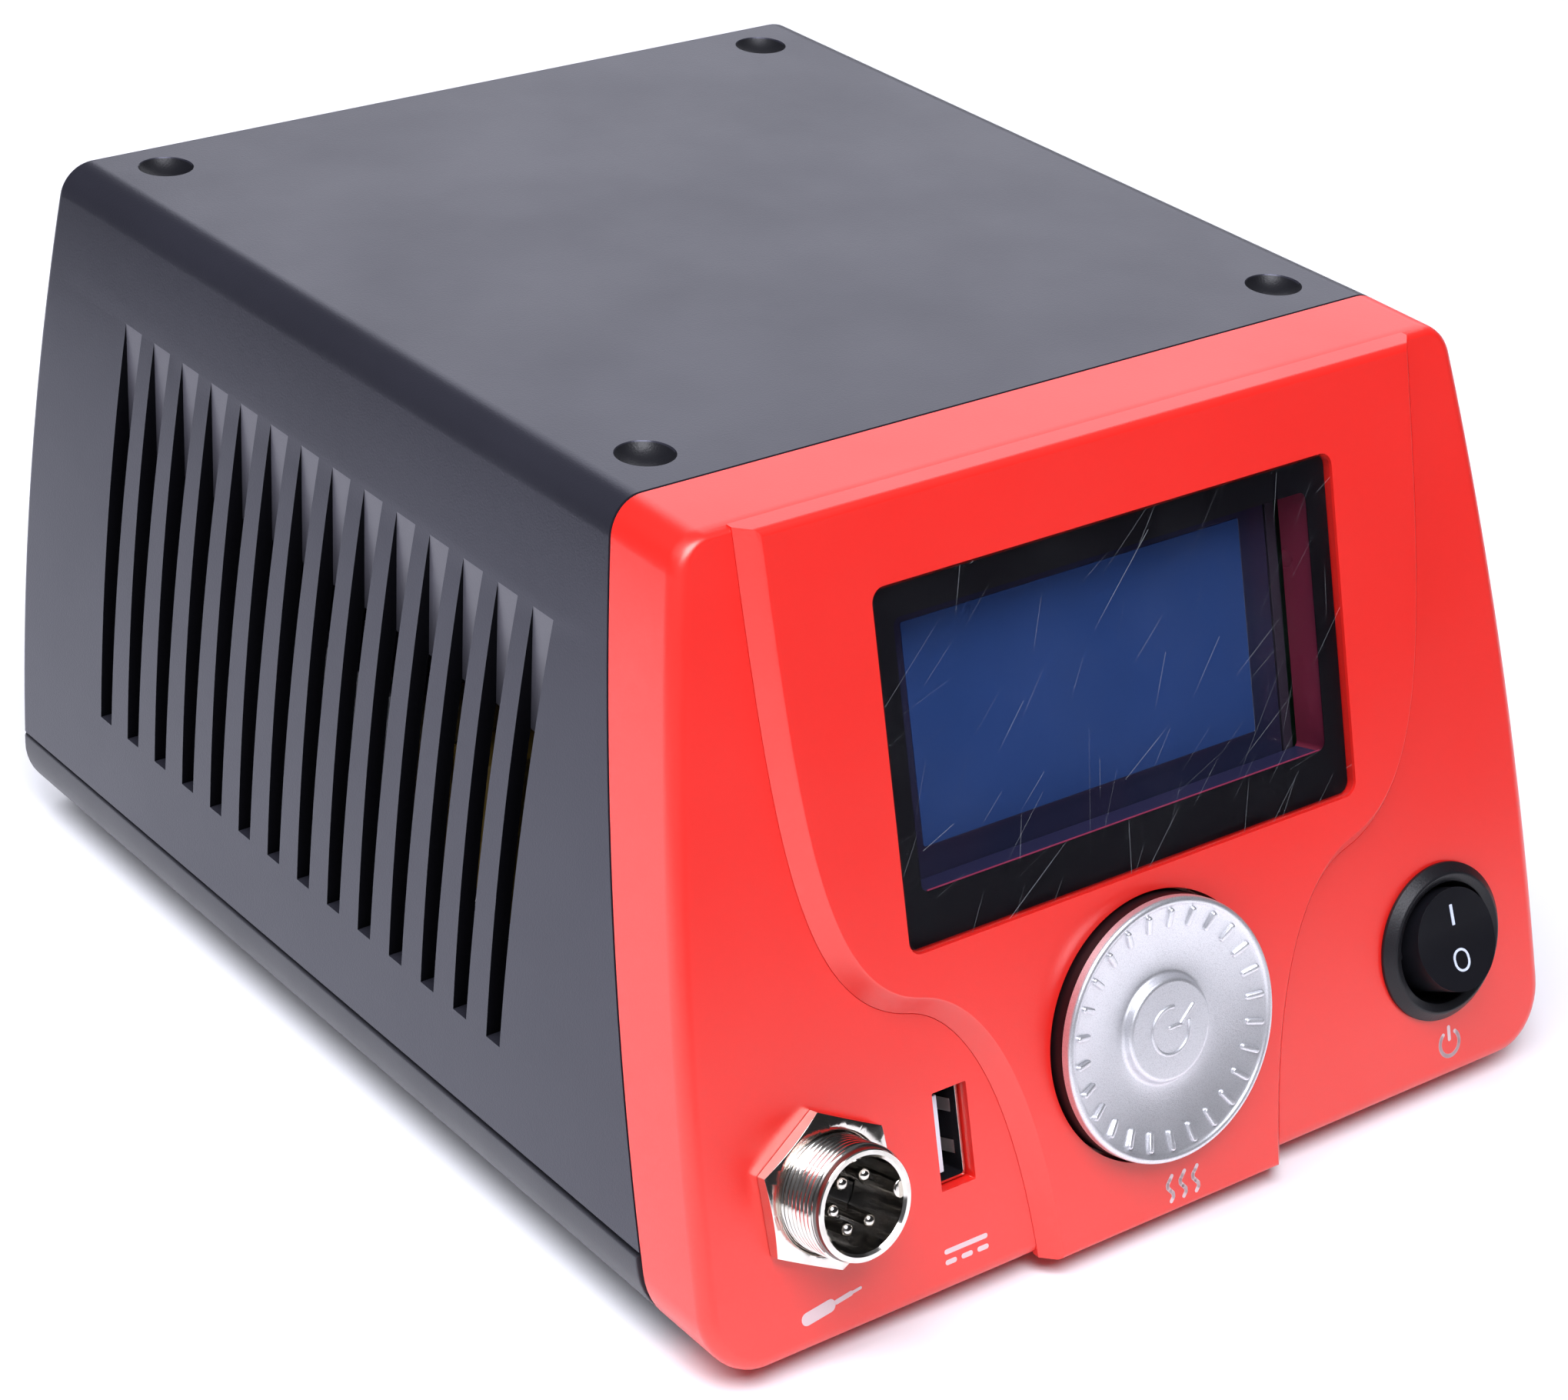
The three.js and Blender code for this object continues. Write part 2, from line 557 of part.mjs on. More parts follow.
function controlKnob() {
  const ticks = [];
  const count = 26;
  for (let i = 0; i < count; i++) {
    const bar = box(-1.5, 1.2, -0.45, 0.45, -0.9, 0).rotateY(-DISH_SLOPE).translate(15.5, 0, 3.05);
    ticks.push(solid(bar.rotateZ(((i + 0.05) * 360 * DEG) / count)));
  }
  const bore = flattedRod(ENCODER.shaft + GAP, 1.5 + GAP, -5, 1.5);
  return cut(joined([solid(turned(knobProfile(), 36)), ...ticks, pressMark()]), [bore]);
}

/** A raised mark on the hub: an open ring with an arrow that points in, for turn and press. */
function pressMark() {
  const [outer, inner, from, to] = [3.55, 3, 75 * DEG, 372 * DEG];
  const ring = new THREE.Shape();
  ring.absarc(0, -0.1, outer, from, to, false);
  ring.absarc(0, -0.1, inner, to, from, true);
  const stem = roundedRect(3.9, 0.5, 0.2)
    .getPoints()
    .map((p) => p.rotateAround(new THREE.Vector2(), 39 * DEG).add(new THREE.Vector2(2.9, 1.35)));
  const bar = new THREE.Shape(stem);
  const foot = roundedRect(2.5, 0.6, 0.2, 0.75, 0.36);
  return joined([ring, bar, foot].map((shape) => solid(plate(shape, 2.4, 3.05, 5))));
}

// ---- mains switch ---------------------------------------------------------------------------

function rockerHousing() {
  const { flange, opening, barrel } = ROCKER;
  const floor = LOW - 11;
  const back = LOW - 15;
  const profile = [
    [opening, floor], [opening, LOW + 1.3], [opening + 0.2, LOW + 1.5], [10.1, LOW + 1.75],
    [10.35, LOW + 1.6], [flange - 0.1, LOW + 0.7], [flange, LOW + 0.5], [flange, LOW + GAP],
    [barrel, LOW + GAP], [barrel, back], [0, back], [0, floor], [opening, floor],
  ];
  const axle = rod(1.1 + GAP, -9.45, 9.45, 0, 0, 16).rotateY(90 * DEG).translate(0, 0, ROCKER_PIVOT);
  return cut(solid(turned(profile, 32)), [solid(axle)]);
}

/** The button about its axle: a drum whose face is a shallow V. */
function rockerButton() {
  const { button } = ROCKER;
  const rise = 4.6;
  const half = 9;
  const lift = rise + half * Math.tan(4 * DEG);
  const profile = [[0, -3], [button - 0.5, -3], [button, -2.5], [button, 8], [0, 8]];
  const v = polygon([[-half, -5], [half, -5], [half, lift], [0, rise], [-half, lift]]);
  const under = plate(v, -half, half).rotateX(90 * DEG).rotateZ(90 * DEG);
  const drum = solid(turned(profile, 36)).intersect(solid(under));
  return drum.add(solid(rod(1.1, -9.1, 9.1, 0, 0, 16).rotateY(90 * DEG)));
}

function bladeTerminal() {
  return solid(plate(roundedRect(4.8, 0.8, 0.2), LOW - 23, LOW - 15 - GAP, 2));
}

// ---- iron socket ----------------------------------------------------------------------------

/** The threaded shell, with its flange behind the panel and a half-round key inside. */
function socketShell() {
  const { thread, bore, reach } = SOCKET;
  const pitch = 0.8;
  const front = LOW + reach;
  const back = LOW - WALL - GAP;
  const profile = [
    [bore, back - 6], [bore, front - 0.35], [bore + 0.35, front], [thread - 0.5, front],
    [thread - 0.4, front - 0.1],
  ];
  for (let z = front - 0.9; z > LOW + 1; z -= pitch) {
    profile.push([thread, z + 0.3], [thread - 0.42, z - 0.1]);
  }
  profile.push([thread - 0.42, back], [10, back], [10, back - 2], [8.6, back - 2.2], [8.6, back - 6]);
  profile.push([bore, back - 6]);
  const key = solid(rod(KEY_RADIUS, LOW - 3, front - 0.8, bore + 0.35, 0, 20));
  const tube = solid(turned(profile, 26));
  return tube.add(key.intersect(solid(rod(bore + 0.8, -50, 50, 0, 0, 32))));
}

function socketNut() {
  const { thread, nut } = SOCKET;
  const hex = solid(plate(hexagon(nut, 33), LOW + GAP, LOW + 2.1));
  const profile = [[0, LOW], [12, LOW], [12, LOW + 1.2], [9.4, LOW + 2.1], [0, LOW + 2.1]];
  return cut(hex.intersect(solid(turned(profile, 48))), [solid(rod(thread + GAP, -20, 20, 0, 0, 48))]);
}

function socketInsulator() {
  const { bore, pinCircle } = SOCKET;
  const back = LOW - WALL - GAP - 6;
  const disc = solid(rod(bore - GAP, back - 1, LOW - 1.5, 0, 0, 26));
  const holes = PIN_ANGLES.map((angle) => {
    const [x, y] = [pinCircle * Math.cos(angle * DEG), pinCircle * Math.sin(angle * DEG)];
    return solid(rod(PIN_RADIUS + GAP, -30, 10, x, y, 12));
  });
  const notch = solid(rod(KEY_RADIUS + GAP, -30, 10, bore + 0.35, 0, 20));
  return cut(disc, [...holes, notch]);
}

/** One contact pin: a bar with a round tip, standing along Z. */
function socketPin() {
  const radius = PIN_RADIUS;
  const tip = LOW + SOCKET.reach - 1.5;
  const profile = [[0, LOW - 13], [radius, LOW - 13]];
  for (let i = 0; i <= 3; i++) {
    const angle = 30 * i * DEG;
    profile.push([radius * Math.cos(angle), tip - radius + radius * Math.sin(angle)]);
  }
  return solid(turned(profile, 12));
}

// ---- USB outlet -----------------------------------------------------------------------------

function usbShell() {
  const front = LOW - USB.recess;
  const outer = plate(roundedRect(USB.width - 0.6, USB.height - 0.6, 0.5), BOARD.front + GAP, front);
  const inner = plate(roundedRect(USB.width - 1.3, USB.height - 1.3, 0.3), BOARD.front + 1.5, 0);
  return cut(solid(outer), [solid(inner)]);
}

function usbTongue() {
  const front = LOW - USB.recess - 0.6;
  return solid(box(-1.9, -0.4, -5.4, 5.4, BOARD.front + 1.5 + GAP, front));
}

// ---- mains inlet at the rear ----------------------------------------------------------------

// The inlet's own frame: X runs to the right as seen from behind the station, Y runs up and Z
// points out of the rear wall, with the origin at the middle of the flange's back.

/** The D-shaped mouth, with its two upper corners cut off. */
function inletMouth() {
  const { y, width, height, chamfer } = INLET_MOUTH;
  const right = [[width / 2, y - height / 2], [width / 2, y + height / 2 - chamfer]];
  const points = [...right, [width / 2 - chamfer, y + height / 2]];
  return polygon([...points, ...points.map(([x, v]) => [-x, v]).reverse()]);
}

function inletBody() {
  const { width, height, flange, rim, depth } = INLET;
  const [halfW, halfH] = [width / 2 - GAP, height / 2 - GAP];
  const block = solid(box(-halfW, halfW, -halfH, halfH, -depth, 1));
  const face = solid(plate(roundedRect(width + 2 * rim, height + 2 * rim, 2), 0, flange));
  const cavity = solid(plate(inletMouth(), flange - INLET_MOUTH.depth, flange + 5));
  const bayX = DRAWER.width / 2 + GAP;
  const [low, high] = [DRAWER.y - DRAWER.height / 2 - GAP, DRAWER.y + DRAWER.height / 2 + GAP];
  const bay = solid(box(-bayX, bayX, low, high, flange - DRAWER.depth - GAP, 10));
  const pinHoles = inletPinPlaces().map(([x, v]) =>
    solid(box(x - 1 - GAP, x + 1 + GAP, v - 2 - GAP, v + 2 + GAP, -30, 0)),
  );
  return cut(block.add(face), [cavity, bay, ...pinHoles]);
}

function inletPinPlaces() {
  const { y } = INLET_MOUTH;
  return [[-7, y - 2], [7, y - 2], [0, y + 2]];
}

function inletPin() {
  return solid(box(-1, 1, -2, 2, -INLET.depth - 8, INLET.flange - 3));
}

/** The drawer that holds the mains fuse, with a finger lip along its top edge. */
function fuseDrawer() {
  const [x, y, depth] = [DRAWER.width / 2, DRAWER.height / 2, DRAWER.depth];
  const { flange } = INLET;
  const body = solid(box(-x, x, -y, y, flange - depth, flange + 0.8));
  const lip = solid(box(-6, 6, y - 2.4, y, flange, flange + 2));
  const tray = solid(box(1 - x, x - 1, 1.2 - y, y + 5, flange - depth + 1.2, flange - 1.4));
  return cut(body.add(lip), [tray]);
}

/** A 5 by 20 glass fuse lying across the drawer. */
function mainsFuse() {
  const half = [[2.3, 4.8], [2.6, 5], [2.6, 9.7], [0, 9.7]];
  const profile = [...half.map(([r, z]) => [r, -z]).reverse(), ...half];
  return solid(turned(profile, 24).rotateY(90 * DEG));
}

// ---- earth jack -----------------------------------------------------------------------------

function earthJack() {
  const { radius, bore } = EARTH_JACK;
  const [back, floor, collar] = [-14, -10.5, GAP];
  const profile = [
    [bore, floor], [bore, 3.2], [bore + 0.4, 3.6], [5.6, 3.6], [6, 3.2], [6, collar],
    [radius, collar], [radius, back], [0, back], [0, floor], [bore, floor],
  ];
  return solid(turned(profile, 20));
}

function earthJackNut() {
  const hex = solid(plate(hexagon(11), -REAR_PLATE.thick - GAP - 3, -REAR_PLATE.thick - GAP));
  return cut(hex, [solid(rod(EARTH_JACK.radius + GAP, -20, 20, 0, 0, 24))]);
}

// ---- power supply ---------------------------------------------------------------------------

const boardPosts = () =>
  [-1, 1].flatMap((a) => [-1, 1].map((b) => [POWER_BOARD.x + a * 19, POWER_BOARD.y + b * 38]));

/** The laminated core, with its two windows. */
function transformerCore() {
  const { width, depth, height } = TRANSFORMER;
  const limb = width / 6;
  const outline = roundedRect(width, height, 0.5, 0, height / 2);
  for (const side of [-1, 1]) {
    outline.holes.push(roundedRect(limb, height - 2 * limb, 0.3, side * limb * 1.5, height / 2));
  }
  return solid(plate(outline, -depth / 2, depth / 2));
}

/** The coil on the middle limb, reaching out of the core at the front and the back. */
function transformerCoil() {
  const { width, depth, height } = TRANSFORMER;
  const limb = width / 6;
  const tall = height - 2 * limb - 2 * GAP;
  const outer = solid(plate(roundedRect(4 * limb - 2 * GAP, depth + 2 * limb, 3), -tall / 2, tall / 2));
  const inner = solid(plate(roundedRect(2 * limb + 2 * GAP, depth + 2 * GAP, 0.3), -40, 40));
  return cut(outer, [inner]);
}

/** A strap over the core with two feet that are screwed to the tray. */
function transformerStrap() {
  const { width, height, z } = TRANSFORMER;
  const t = STRAP.thick;
  const [w, h, end] = [width / 2 + GAP, height + GAP, width / 2 + GAP + STRAP.foot];
  const low = TRAY_FLOOR + GAP - z;
  const outline = polygon([
    [-end, low], [-w, low], [-w, h], [w, h], [w, low], [end, low],
    [end, low + t], [w + t, low + t], [w + t, h + t], [-w - t, h + t], [-w - t, low + t],
    [-end, low + t],
  ]);
  const holes = [-1, 1].map((side) =>
    solid(rod(SMALL_SCREW + GAP, -30, 30, side * STRAP.screw, 0, 12).rotateX(90 * DEG)),
  );
  return cut(solid(plate(outline, -STRAP.half, STRAP.half)), holes);
}

function panScrew(length) {
  const shank = [[0, -length], [SMALL_SCREW, -length + 0.5], [SMALL_SCREW, 0]];
  const head = [[2.5, 0], [2.5, 1], [1.9, 1.6], [0, 1.8]];
  return solid(turned([...shank, ...head], 12));
}

function caseScrew() {
  const cross = [box(-1.6, 1.6, -0.4, 0.4, 4, 5.9), box(-0.4, 0.4, -1.6, 1.6, 4, 5.9)];
  const head = [[0, 4.8], [2.3, 4.8], [SCREW.head, 5.3], [SCREW.head, 7.1]];
  const shank = [[SCREW.radius, 7.1], [SCREW.radius, 31], [0, 32.5]];
  return cut(solid(turned([...head, ...shank], 14)), cross.map(solid));
}

function powerBoard() {
  const { width, length, thick } = POWER_BOARD;
  return solid(plate(roundedRect(width, length, 1.5), 0, thick));
}

function filterCapacitor() {
  const profile = [[0, 0], [8.6, 0], [9, 0.5], [9, 2.4], [8.6, 3], [9, 3.6], [9, 29], [8.4, 30], [0, 30]];
  return solid(turned(profile, 20));
}

/** An extruded aluminium heat sink with upright fins. */
function heatSink() {
  const [width, thick, base, reach, fins] = [36, 1.6, 2.4, 14, 7];
  const pitch = (width - thick) / (fins - 1);
  const outline = [[0, 0], [width, 0]];
  for (let i = fins - 1; i >= 0; i--) {
    const x = i * pitch;
    outline.push([x + thick, reach], [x, reach]);
    if (i > 0) outline.push([x, base], [x - pitch + thick, base]);
  }
  return solid(plate(polygon(outline), 0, 32));
}

function powerTransistor() {
  return solid(box(0, 10, -4.5, 0, 0, 15)).add(solid(box(0, 10, -1.4, 0, 14, 20)));
}

function terminalBlock() {
  const body = solid(box(-12, 12, -5, 5, 0, 10));
  const ways = [-8, 0, 8].map((x) => solid(rod(1.9, 7, 12, x, 0, 16)));
  const mouths = [-8, 0, 8].map((x) => solid(box(x - 2.4, x + 2.4, -6, -1, 1.5, 5.5)));
  return cut(body, [...ways, ...mouths]);
}

// ---- feet -----------------------------------------------------------------------------------

function foot() {
  const { radius, height } = FOOT;
  const sole = [[0, 0], [radius - 0.8, 0], [radius - 0.3, 0.25], [radius, 0.9]];
  return solid(turned([...sole, [radius, height], [0, height]], 20));
}

// ---- assembly -------------------------------------------------------------------------------

function mesh(name, shape, material, x = 0, y = 0, z = 0) {
  const piece = new THREE.Mesh(geometryOf(shape), material);
  piece.name = name;
  piece.position.set(x, y, z);
  return piece;
}

/** The pieces mounted on the leaning panel, placed in its frame. */
function panelGroup() {
  const group = new THREE.Group();
  group.applyMatrix4(PANEL);
  const button = mesh('rocker_button', rockerButton(), BLACK, ROCKER.x, ROCKER.v, ROCKER_PIVOT);
  button.rotation.x = -ROCKER.tilt * DEG;
  group.add(
    mesh('display_window', displayWindow(), GLOSS_BLACK),
    mesh('lcd_frame', lcdFrame(), BLACK),
    mesh('lcd_glass', lcdGlass(), BLUE_GLASS),
    mesh('control_board', controlBoard(), BOARD_GREEN),
    mesh('encoder_body', encoderBody(), STEEL, 0, KNOB.v),
    mesh('encoder_rotor', encoderRotor(), WHITE, 0, KNOB.v),
    mesh('encoder_shaft', encoderShaft(), STEEL, 0, KNOB.v),
    mesh('control_knob', controlKnob(), SILVER, 0, KNOB.v),
    mesh('rocker_housing', rockerHousing(), BLACK, ROCKER.x, ROCKER.v),
    button,
    mesh('rocker_terminal_upper', bladeTerminal(), BRASS, ROCKER.x, ROCKER.v + 4),
    mesh('rocker_terminal_lower', bladeTerminal(), BRASS, ROCKER.x, ROCKER.v - 4),
    mesh('socket_shell', socketShell(), NICKEL, SOCKET.x, SOCKET.v),
    mesh('socket_nut', socketNut(), NICKEL, SOCKET.x, SOCKET.v),
    mesh('socket_insulator', socketInsulator(), BLACK, SOCKET.x, SOCKET.v),
    mesh('usb_shell', usbShell(), NICKEL, USB.x, USB.v),
    mesh('usb_tongue', usbTongue(), WHITE, USB.x, USB.v),
  );
  PIN_ANGLES.forEach((angle, i) => {
    const x = SOCKET.x + SOCKET.pinCircle * Math.cos(angle * DEG);
    const v = SOCKET.v + SOCKET.pinCircle * Math.sin(angle * DEG);
    group.add(mesh(`socket_pin_${i + 1}`, socketPin(), NICKEL, x, v));
  });
  const behindBoard = BOARD.front - BOARD.thick - GAP;
  boardScrewPlaces().forEach(([x, v], i) => {
    const screw = mesh(`board_screw_${i + 1}`, panScrew(7), STEEL, x, v, behindBoard);
    screw.rotation.y = 180 * DEG;
    group.add(screw);
  });
  return group;
}

/** The pieces mounted on the rear plate. */
function rearGroup() {
  const group = new THREE.Group();
  group.add(mesh('rear_plate', rearPlate(), GREY, 0, 0, -REAR_PLATE.thick - GAP));
  const { x, z } = INLET;
  group.add(mesh('inlet_body', inletBody(), BLACK, x, z));
  const contacts = ['live', 'neutral', 'earth'];
  inletPinPlaces().forEach(([px, pv], i) => {
    group.add(mesh(`inlet_pin_${contacts[i]}`, inletPin(), BRASS, x + px, z + pv));
  });
  group.add(mesh('fuse_drawer', fuseDrawer(), BLACK, x, z + DRAWER.y));
  group.add(mesh('mains_fuse', mainsFuse(), WHITE, x, z + DRAWER.y + 0.3, INLET.flange - 8));
  group.add(mesh('earth_jack', earthJack(), YELLOW_GREEN, EARTH_JACK.x, EARTH_JACK.z));
  group.add(mesh('earth_jack_nut', earthJackNut(), BRASS, EARTH_JACK.x, EARTH_JACK.z));
  group.rotation.set(-90 * DEG, 180 * DEG, 0, 'YXZ');
  group.position.y = REAR_PLATE_Y + REAR_PLATE.thick + GAP;
  return group;
}

function supplyGroup() {
  const group = new THREE.Group();
  const { x, y, z, height } = TRANSFORMER;
  const strapTop = TRAY_FLOOR + STRAP.thick + 2 * GAP;
  const upright = (piece) => {
    piece.rotation.x = 90 * DEG;
    return piece;
  };
  const top = POWER_BOARD.z + POWER_BOARD.thick + GAP;
  group.add(
    upright(mesh('transformer_core', transformerCore(), STEEL, x, y, z)),
    mesh('transformer_coil', transformerCoil(), COPPER_TAPE, x, y, z + height / 2),
    upright(mesh('transformer_strap', transformerStrap(), STEEL, x, y, z)),
    mesh('strap_screw_left', panScrew(2.8), STEEL, x - STRAP.screw, y, strapTop),
    mesh('strap_screw_right', panScrew(2.8), STEEL, x + STRAP.screw, y, strapTop),
    mesh('power_board', powerBoard(), BOARD_GREEN, POWER_BOARD.x, POWER_BOARD.y, POWER_BOARD.z),
    mesh('filter_capacitor', filterCapacitor(), BLACK, 40, 100, top),
    mesh('heat_sink', heatSink(), STEEL, 8, 126, top),
    mesh('power_transistor', powerTransistor(), BLACK, 20, 126 - GAP, top),
    mesh('terminal_block', terminalBlock(), WHITE, 40, 78, top),
  );
  return group;
}

function caseGroup() {
  const group = new THREE.Group();
  group.add(
    mesh('upper_housing', upperHousing(), GREY),
    mesh('base_tray', baseTray(), GREY),
    mesh('front_bezel', frontBezel(), RED),
  );
  const ends = [['front', DIMPLE.front], ['rear', DIMPLE.rear]];
  for (const [side, sign] of [['left', -1], ['right', 1]]) {
    for (const [end, y] of ends) {
      group.add(mesh(`foot_${end}_${side}`, foot(), RUBBER, sign * DIMPLE.x, y, 0));
    }
  }
  screwPlaces().forEach(([x, y], i) => {
    group.add(mesh(`case_screw_${i + 1}`, caseScrew(), STEEL, x, y, 0));
  });
  return group;
}

/** The whole station, with the middle of its footprint at the origin. */
function station() {
  const group = new THREE.Group();
  group.add(caseGroup(), panelGroup(), rearGroup(), supplyGroup());
  group.updateMatrixWorld(true);
  const centre = new THREE.Box3().setFromObject(group, true).getCenter(new THREE.Vector3());
  group.position.y = -centre.y;
  group.updateMatrixWorld(true);
  return group;
}

export default station();
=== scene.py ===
"""The soldering iron station's finished surfaces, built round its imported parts.

Shapes are drawn in millimetres, in one of two frames. The station's frame has X to the right, Y
to the back from the foot of the raised panel, and Z up. The panel's frame has X to the right, Y
up the slope and Z out of the leaning front. They become metres when a shape is placed.
"""

import json
import math

import bmesh
import bpy
from mathutils import Matrix, Vector


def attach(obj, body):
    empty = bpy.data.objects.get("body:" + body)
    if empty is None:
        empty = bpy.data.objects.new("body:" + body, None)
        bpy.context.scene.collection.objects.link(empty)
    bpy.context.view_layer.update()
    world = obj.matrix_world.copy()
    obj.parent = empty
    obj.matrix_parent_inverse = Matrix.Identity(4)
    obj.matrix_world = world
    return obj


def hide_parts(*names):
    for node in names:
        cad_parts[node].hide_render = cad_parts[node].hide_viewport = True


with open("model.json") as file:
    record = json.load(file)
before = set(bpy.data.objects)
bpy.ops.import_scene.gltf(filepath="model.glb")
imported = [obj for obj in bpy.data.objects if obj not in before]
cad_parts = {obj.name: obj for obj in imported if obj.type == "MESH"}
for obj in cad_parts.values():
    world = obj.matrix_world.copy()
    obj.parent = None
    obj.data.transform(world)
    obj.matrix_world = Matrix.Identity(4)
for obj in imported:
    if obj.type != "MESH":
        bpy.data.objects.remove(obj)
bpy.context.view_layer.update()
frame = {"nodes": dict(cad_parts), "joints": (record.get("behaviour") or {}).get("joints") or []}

# ---- driving dimensions, in millimetres unless a line says otherwise

MM = 0.001  # in metres
WELD = 0.004  # corners closer than this are merged
SHARP = 34  # degrees; edges that turn by more are rounded, or shaded as sharp
PILL = 0.98  # a round end's share of half its width, short of 1 so no two corners meet
LEAN = math.radians(15.9)  # how far the front leans back from upright
GAP = 0.3  # clearance between pieces that touch
HALF_WIDTH = 75.6
SIDE_RADIUS = 500  # the side walls are one long arc
SIDE_CENTRE_Z = 8
UNDERSIDE = 3  # height of the case above the table
FRONT_TOP = 107
REAR_TOP = 104.4
DEPTH = 181
WALL = 2.5
TOP_CORNER = 5.5
BOTTOM_CORNER = 9
REAR_ROUND = 1.5
PARTING_Z = 13.9
SEAM = 15.8
SEAM_GAP = 0.4
TRAY_SETBACK = 1.4
PANEL_STEP = 2.4
PANEL_SLOPE = 2.6
LOW = -PANEL_STEP  # the lower plane of the front, in the panel's frame

KNOB_V, KNOB_RADIUS, KNOB_POCKET, KNOB_POCKET_DEPTH = 27.1, 18.2, 18.7, 3.6
BEAD = 0.6  # radius of the knob's rounded rim
DISH_SLOPE = 16  # degrees; how far the bars on the knob's face lean inwards
WINDOW_V, WINDOW_WIDTH, WINDOW_HEIGHT, WINDOW_CORNER = 72.8, 79, 48.3, 2
WINDOW_REBATE, WINDOW_THICK = 1.7, 1.3
CLEAR_V, CLEAR_WIDTH, CLEAR_HEIGHT = 74, 71.2, 36.2
HOLE_V, HOLE_WIDTH, HOLE_HEIGHT, WELL_DEPTH = 74, 73, 38, 3
LCD_V, LCD_WIDTH, LCD_HEIGHT, LCD_FRONT = 74, 68, 42, -8.2
LIT_WIDTH, LIT_HEIGHT = 58.6, 30
ROCKER_X, ROCKER_V, ROCKER_FLANGE, ROCKER_OPENING = 55.4, 21.9, 11.5, 8.8
ROCKER_BARREL, ROCKER_BUTTON, ROCKER_PIVOT = 9.9, 7.4, LOW - 1
ROCKER_TILT = math.radians(12)  # the button's angle at rest
ROCKER_FACE = math.tan(math.radians(4))  # rise of each half of its V-shaped face
SOCKET_X, SOCKET_V, THREAD_RADIUS, BORE_RADIUS = -55.5, 22, 7.75, 6.25
SOCKET_REACH, NUT_WIDTH, THREAD_PITCH, KEY_RADIUS = 8.9, 19, 0.8, 1.35
USB_X, USB_V, USB_WIDTH, USB_HEIGHT, USB_RECESS = -33.9, 21.9, 5.7, 13.7, 1.7
VENTS, VENT_PITCH, VENT_FIRST, VENT_BOTTOM, VENT_TOP = 14, 7.8, 52, 27.5, 89
VENT_NARROW, VENT_WIDE, VENT_FLOOR = 3.1, 4.5, 69.05
DIMPLE_X, DIMPLE_FRONT, DIMPLE_REAR, DIMPLE_RADIUS, DIMPLE_DEPTH = 54, 54.7, 172.3, 4, 2
REAR_OPENING_HALF, REAR_OPENING_TOP = 56, 90

# ---- the panel's frame and the station's frame

SPIN = next(joint for joint in frame["joints"] if joint["name"] == "knob_spin")
OUT = Vector(SPIN["axis"])
RIGHT = Vector((1, 0, 0))
UP_SLOPE = OUT.cross(RIGHT)
PANEL_FOOT = Vector(SPIN["pos_m"]) - UP_SLOPE * KNOB_V * MM
PANEL = Matrix.Translation(PANEL_FOOT) @ Matrix((RIGHT, UP_SLOPE, OUT)).transposed().to_4x4()
PANEL = PANEL @ Matrix.Scale(MM, 4)
STATION = Matrix.Translation((0, PANEL_FOOT.y, 0)) @ Matrix.Scale(MM, 4)


def on_panel(x, v, height=0):
    """A place on the leaning front, for a shape drawn round its own origin."""
    return PANEL @ Matrix.Translation((x, v, height))


# ---- outlines


def arc(x, y, radius, start, end, steps):
    """Points along an arc, from one angle to another in degrees."""
    angles = [math.radians(start + (end - start) * i / steps) for i in range(steps + 1)]
    return [(x + radius * math.cos(a), y + radius * math.sin(a)) for a in angles]


def rounded_rect(width, height, radius, x=0, y=0, steps=6):
    w, h = width / 2 - radius, height / 2 - radius
    corners = [(w, h, 0), (-w, h, 90), (-w, -h, 180), (w, -h, 270)]
    return [p for cx, cy, a in corners for p in arc(x + cx, y + cy, radius, a, a + 90, steps)]


def cubic(p0, p1, p2, p3, steps):
    points = []
    for i in range(steps + 1):
        t = i / steps
        weights = ((1 - t) ** 3, 3 * t * (1 - t) ** 2, 3 * t * t * (1 - t), t**3)
        terms = [weight * Vector(p) for weight, p in zip(weights, (p0, p1, p2, p3))]
        points.append(sum(terms, Vector((0, 0))))
    return points


def eased(points, radii, steps=4, closed=False):
    """A line or a closed outline with its corners rounded. A radius of 0 keeps the corner."""
    if not isinstance(radii, (list, tuple)):
        radii = [radii] * len(points)
    result = []
    last = len(points) - 1
    for i, (point, radius) in enumerate(zip(points, radii)):
        here = Vector(point)
        if not radius or (not closed and i in (0, last)):
            result.append(tuple(here))
            continue
        before = Vector(points[i - 1]) - here
        after = Vector(points[(i + 1) % len(points)]) - here
        reach = radius / math.tan(before.angle(after) / 2)
        start = here + before.normalized() * min(reach, before.length * 0.49)
        end = here + after.normalized() * min(reach, after.length * 0.49)
        for k in range(steps + 1):
            t = k / steps
            result.append(tuple((1 - t) ** 2 * start + 2 * t * (1 - t) * here + t * t * end))
    return result


# ---- shapes: a list of corners and a list of faces


def loft(rings):
    """Closed rings of points, all of one length, joined into a skin with flat ends."""
    count = len(rings[0])
    faces = [list(range(count)), [len(rings) * count - 1 - i for i in range(count)]]
    for i in range(len(rings) - 1):
        for j in range(count):
            a, b = i * count + j, i * count + (j + 1) % count
            faces.append([a, a + count, b + count, b])
    return [tuple(p) for ring in rings for p in ring], faces


def prism(outline, low, high):
    """An outline in X and Y, made solid between two heights."""
    return loft([[(x, y, z) for x, y in outline] for z in (low, high)])


def block(x0, x1, y0, y1, z0, z1):
    return prism([(x0, y0), (x1, y0), (x1, y1), (x0, y1)], z0, z1)


def slab(low, high):
    """A layer between two heights, wider and deeper than the station."""
    return block(-100, 100, -50, 250, low, high)


